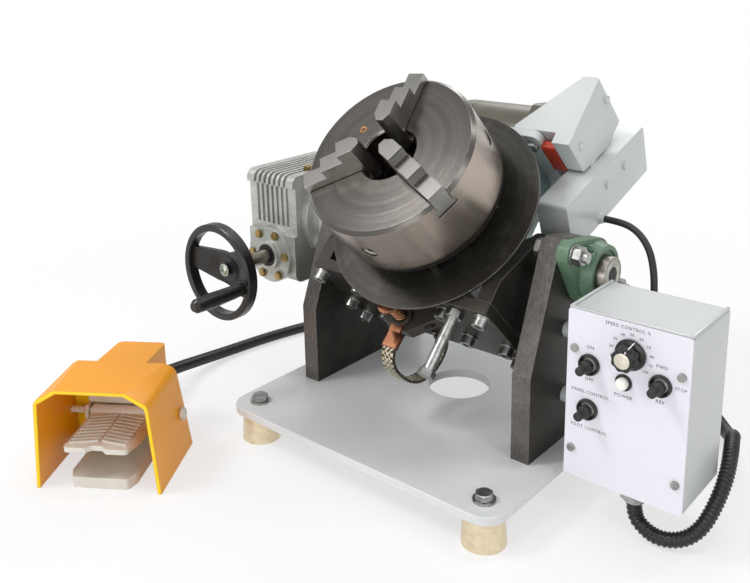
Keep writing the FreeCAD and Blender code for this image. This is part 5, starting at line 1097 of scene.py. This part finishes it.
def make_bearing_end():
    """Silver locking collar face over the dark end of the tilt shaft."""
    shaft_end = span("right_trunnion", 0)[1]
    out = Matrix.Translation((shaft_end, 0, TILT_HEIGHT)) @ Matrix.Rotation(QUARTER, 4, "Y")
    ring = turned_mesh("collar_ring", [
        (0.0153, -0.0080), (0.0166, -0.0078), (0.0166, -0.0006), (0.0158, 0.0004), (0.0100, 0.0006),
        (0.0094, 0.0002), (0.0092, 0.0001)])
    seat = turned_mesh("shaft_face", [(0.0094, 0.0), (0.0090, 0.0003), (0.0030, 0.0004), (0.0016, 0.00015)])
    hole = turned_mesh("set_screw_hole", [(0.0019, 0.0), (0.0019, 0.0002), (0.0006, 0.0002)], 20)
    hole.transform(Matrix.Rotation(COLLAR_SCREW_ANGLE, 4, "Z") @ facing_front(*COLLAR_SCREW_PLACE))
    for name, mesh, material, slot in (("collar_ring", ring, hub_zinc, "zinc"),
                                       ("shaft_face", seat, deep_black, "black_plastic"),
                                       ("set_screw_hole", hole, deep_black, "black_plastic")):
        mesh.transform(out)
        new_piece(name, mesh, "cradle", material)


def make_face_plug():
    """Brass filler plug beside the jaws."""
    rim = turned_mesh("plug_rim", [
        (0.0046, 0.0), (0.0046, 0.0004), (0.0041, 0.0007), (0.0034, 0.0006), (0.0030, 0.0002)])
    core = turned_mesh("plug_core", [(0.0018, 0.0), (0.0018, 0.0004), (0.0008, 0.0005)])
    for name, mesh, material, slot in (("plug_rim", rim, plug_brass, "yellow_zinc"),
                                       ("plug_core", core, deep_black, "black_plastic")):
        mesh.transform(LEANT @ Matrix.Translation(FACE_PLUG_PLACE))
        new_piece(name, mesh, "spindle", material)


def make_enclosure_folds():
    """Folded side flanges standing over the recessed top cover, with its seam at the front."""
    (x_low, x_high), (y_low, y_high), (_, top) = (span("control_box", axis) for axis in range(3))
    under = top - 0.0006
    for name, low, high in (
            ("left_fold", (x_low, y_low, under), (x_low + FOLD_WIDTH, y_high, top + 0.0024)),
            ("right_fold", (x_high - FOLD_WIDTH, y_low, under), (x_high, y_high, top + 0.0024)),
            ("front_fold", (x_low, y_low - 0.0012, under), (x_high, y_low + 0.0040, top + 0.0014))):
        new_piece(name, rounded_block(name, low, high, 0.0011), "stand", FINISHES["box_paint"])


def make_switch_front():
    """Pale housing of the foot switch over the treadle's hinge."""
    mesh = rounded_block("switch_front", *SWITCH_FRONT, 0.003)
    mesh.transform(PEDAL)
    new_piece("switch_front", mesh, "stand", FINISHES["pedal_grey"])


def make_screw_crosses():
    """Cross recesses of the two upper panel screws, as near black bars: painted shade in the recesses."""
    for name, (x, z) in CROSS_SCREWS.items():
        y = min(front_of(node, x, z, 0.0035) for node in ("box_fittings", "control_panel"))
        cross = bmesh.new()
        for degrees in CROSS_TURNS:
            bar = rounded_block("bar", (-0.0024, -0.0005, -0.0001), (0.0024, 0.0005, 0.0003), 0.0001)
            bar.transform(Matrix.Rotation(math.radians(degrees), 4, "Z"))
            cross.from_mesh(bar)
        mesh = bpy.data.meshes.new(name)
        cross.to_mesh(mesh)
        cross.free()
        mesh.transform(facing_front(x, y, z))
        new_piece(name, mesh, "stand", deep_black)


make_hub_screw()
make_shaft_seal()
make_bearing_end()
make_face_plug()
make_enclosure_folds()
make_switch_front()
make_screw_crosses()


# Floor

FLOOR_GLOW = 0.62


def make_floor():
    """A wide pale floor under the object, which fades to white away from it."""
    mesh = new_mesh("floor", [(-6, -6, 0), (6, -6, 0), (6, 6, 0), (-6, 6, 0)], [(0, 1, 2, 3)])
    floor = bpy.data.objects.new("floor", mesh)
    bpy.context.collection.objects.link(floor)
    finish = Finish("floor_white")
    tree = finish.tree
    material = finish.finished((0.9, 0.9, 0.9, 1), 0.7)
    output = next(n for n in tree.nodes if n.type == "OUTPUT_MATERIAL")
    path = finish.add("ShaderNodeLightPath")
    glow = finish.add("ShaderNodeEmission", None, Color=(1, 1, 1, 1), Strength=1.0)
    mix = finish.add("ShaderNodeMixShader")
    x, y, z = finish.split(finish.place())
    afar = (x * x + y * y).maths("SQRT").between(0.45, 1.1)
    seen = Value(finish, path.outputs["Is Camera Ray"])
    for kind in ("Is Glossy Ray", "Is Transmission Ray"):
        seen = seen.maths("MAXIMUM", Value(finish, path.outputs[kind]))
    finish.feed(mix.inputs["Fac"], seen * afar.spread(FLOOR_GLOW, 1.0))
    tree.links.new(finish.shader.outputs[0], mix.inputs[1])
    tree.links.new(glow.outputs[0], mix.inputs[2])
    tree.links.new(mix.outputs[0], output.inputs["Surface"])
    dress(floor, material)


make_floor()
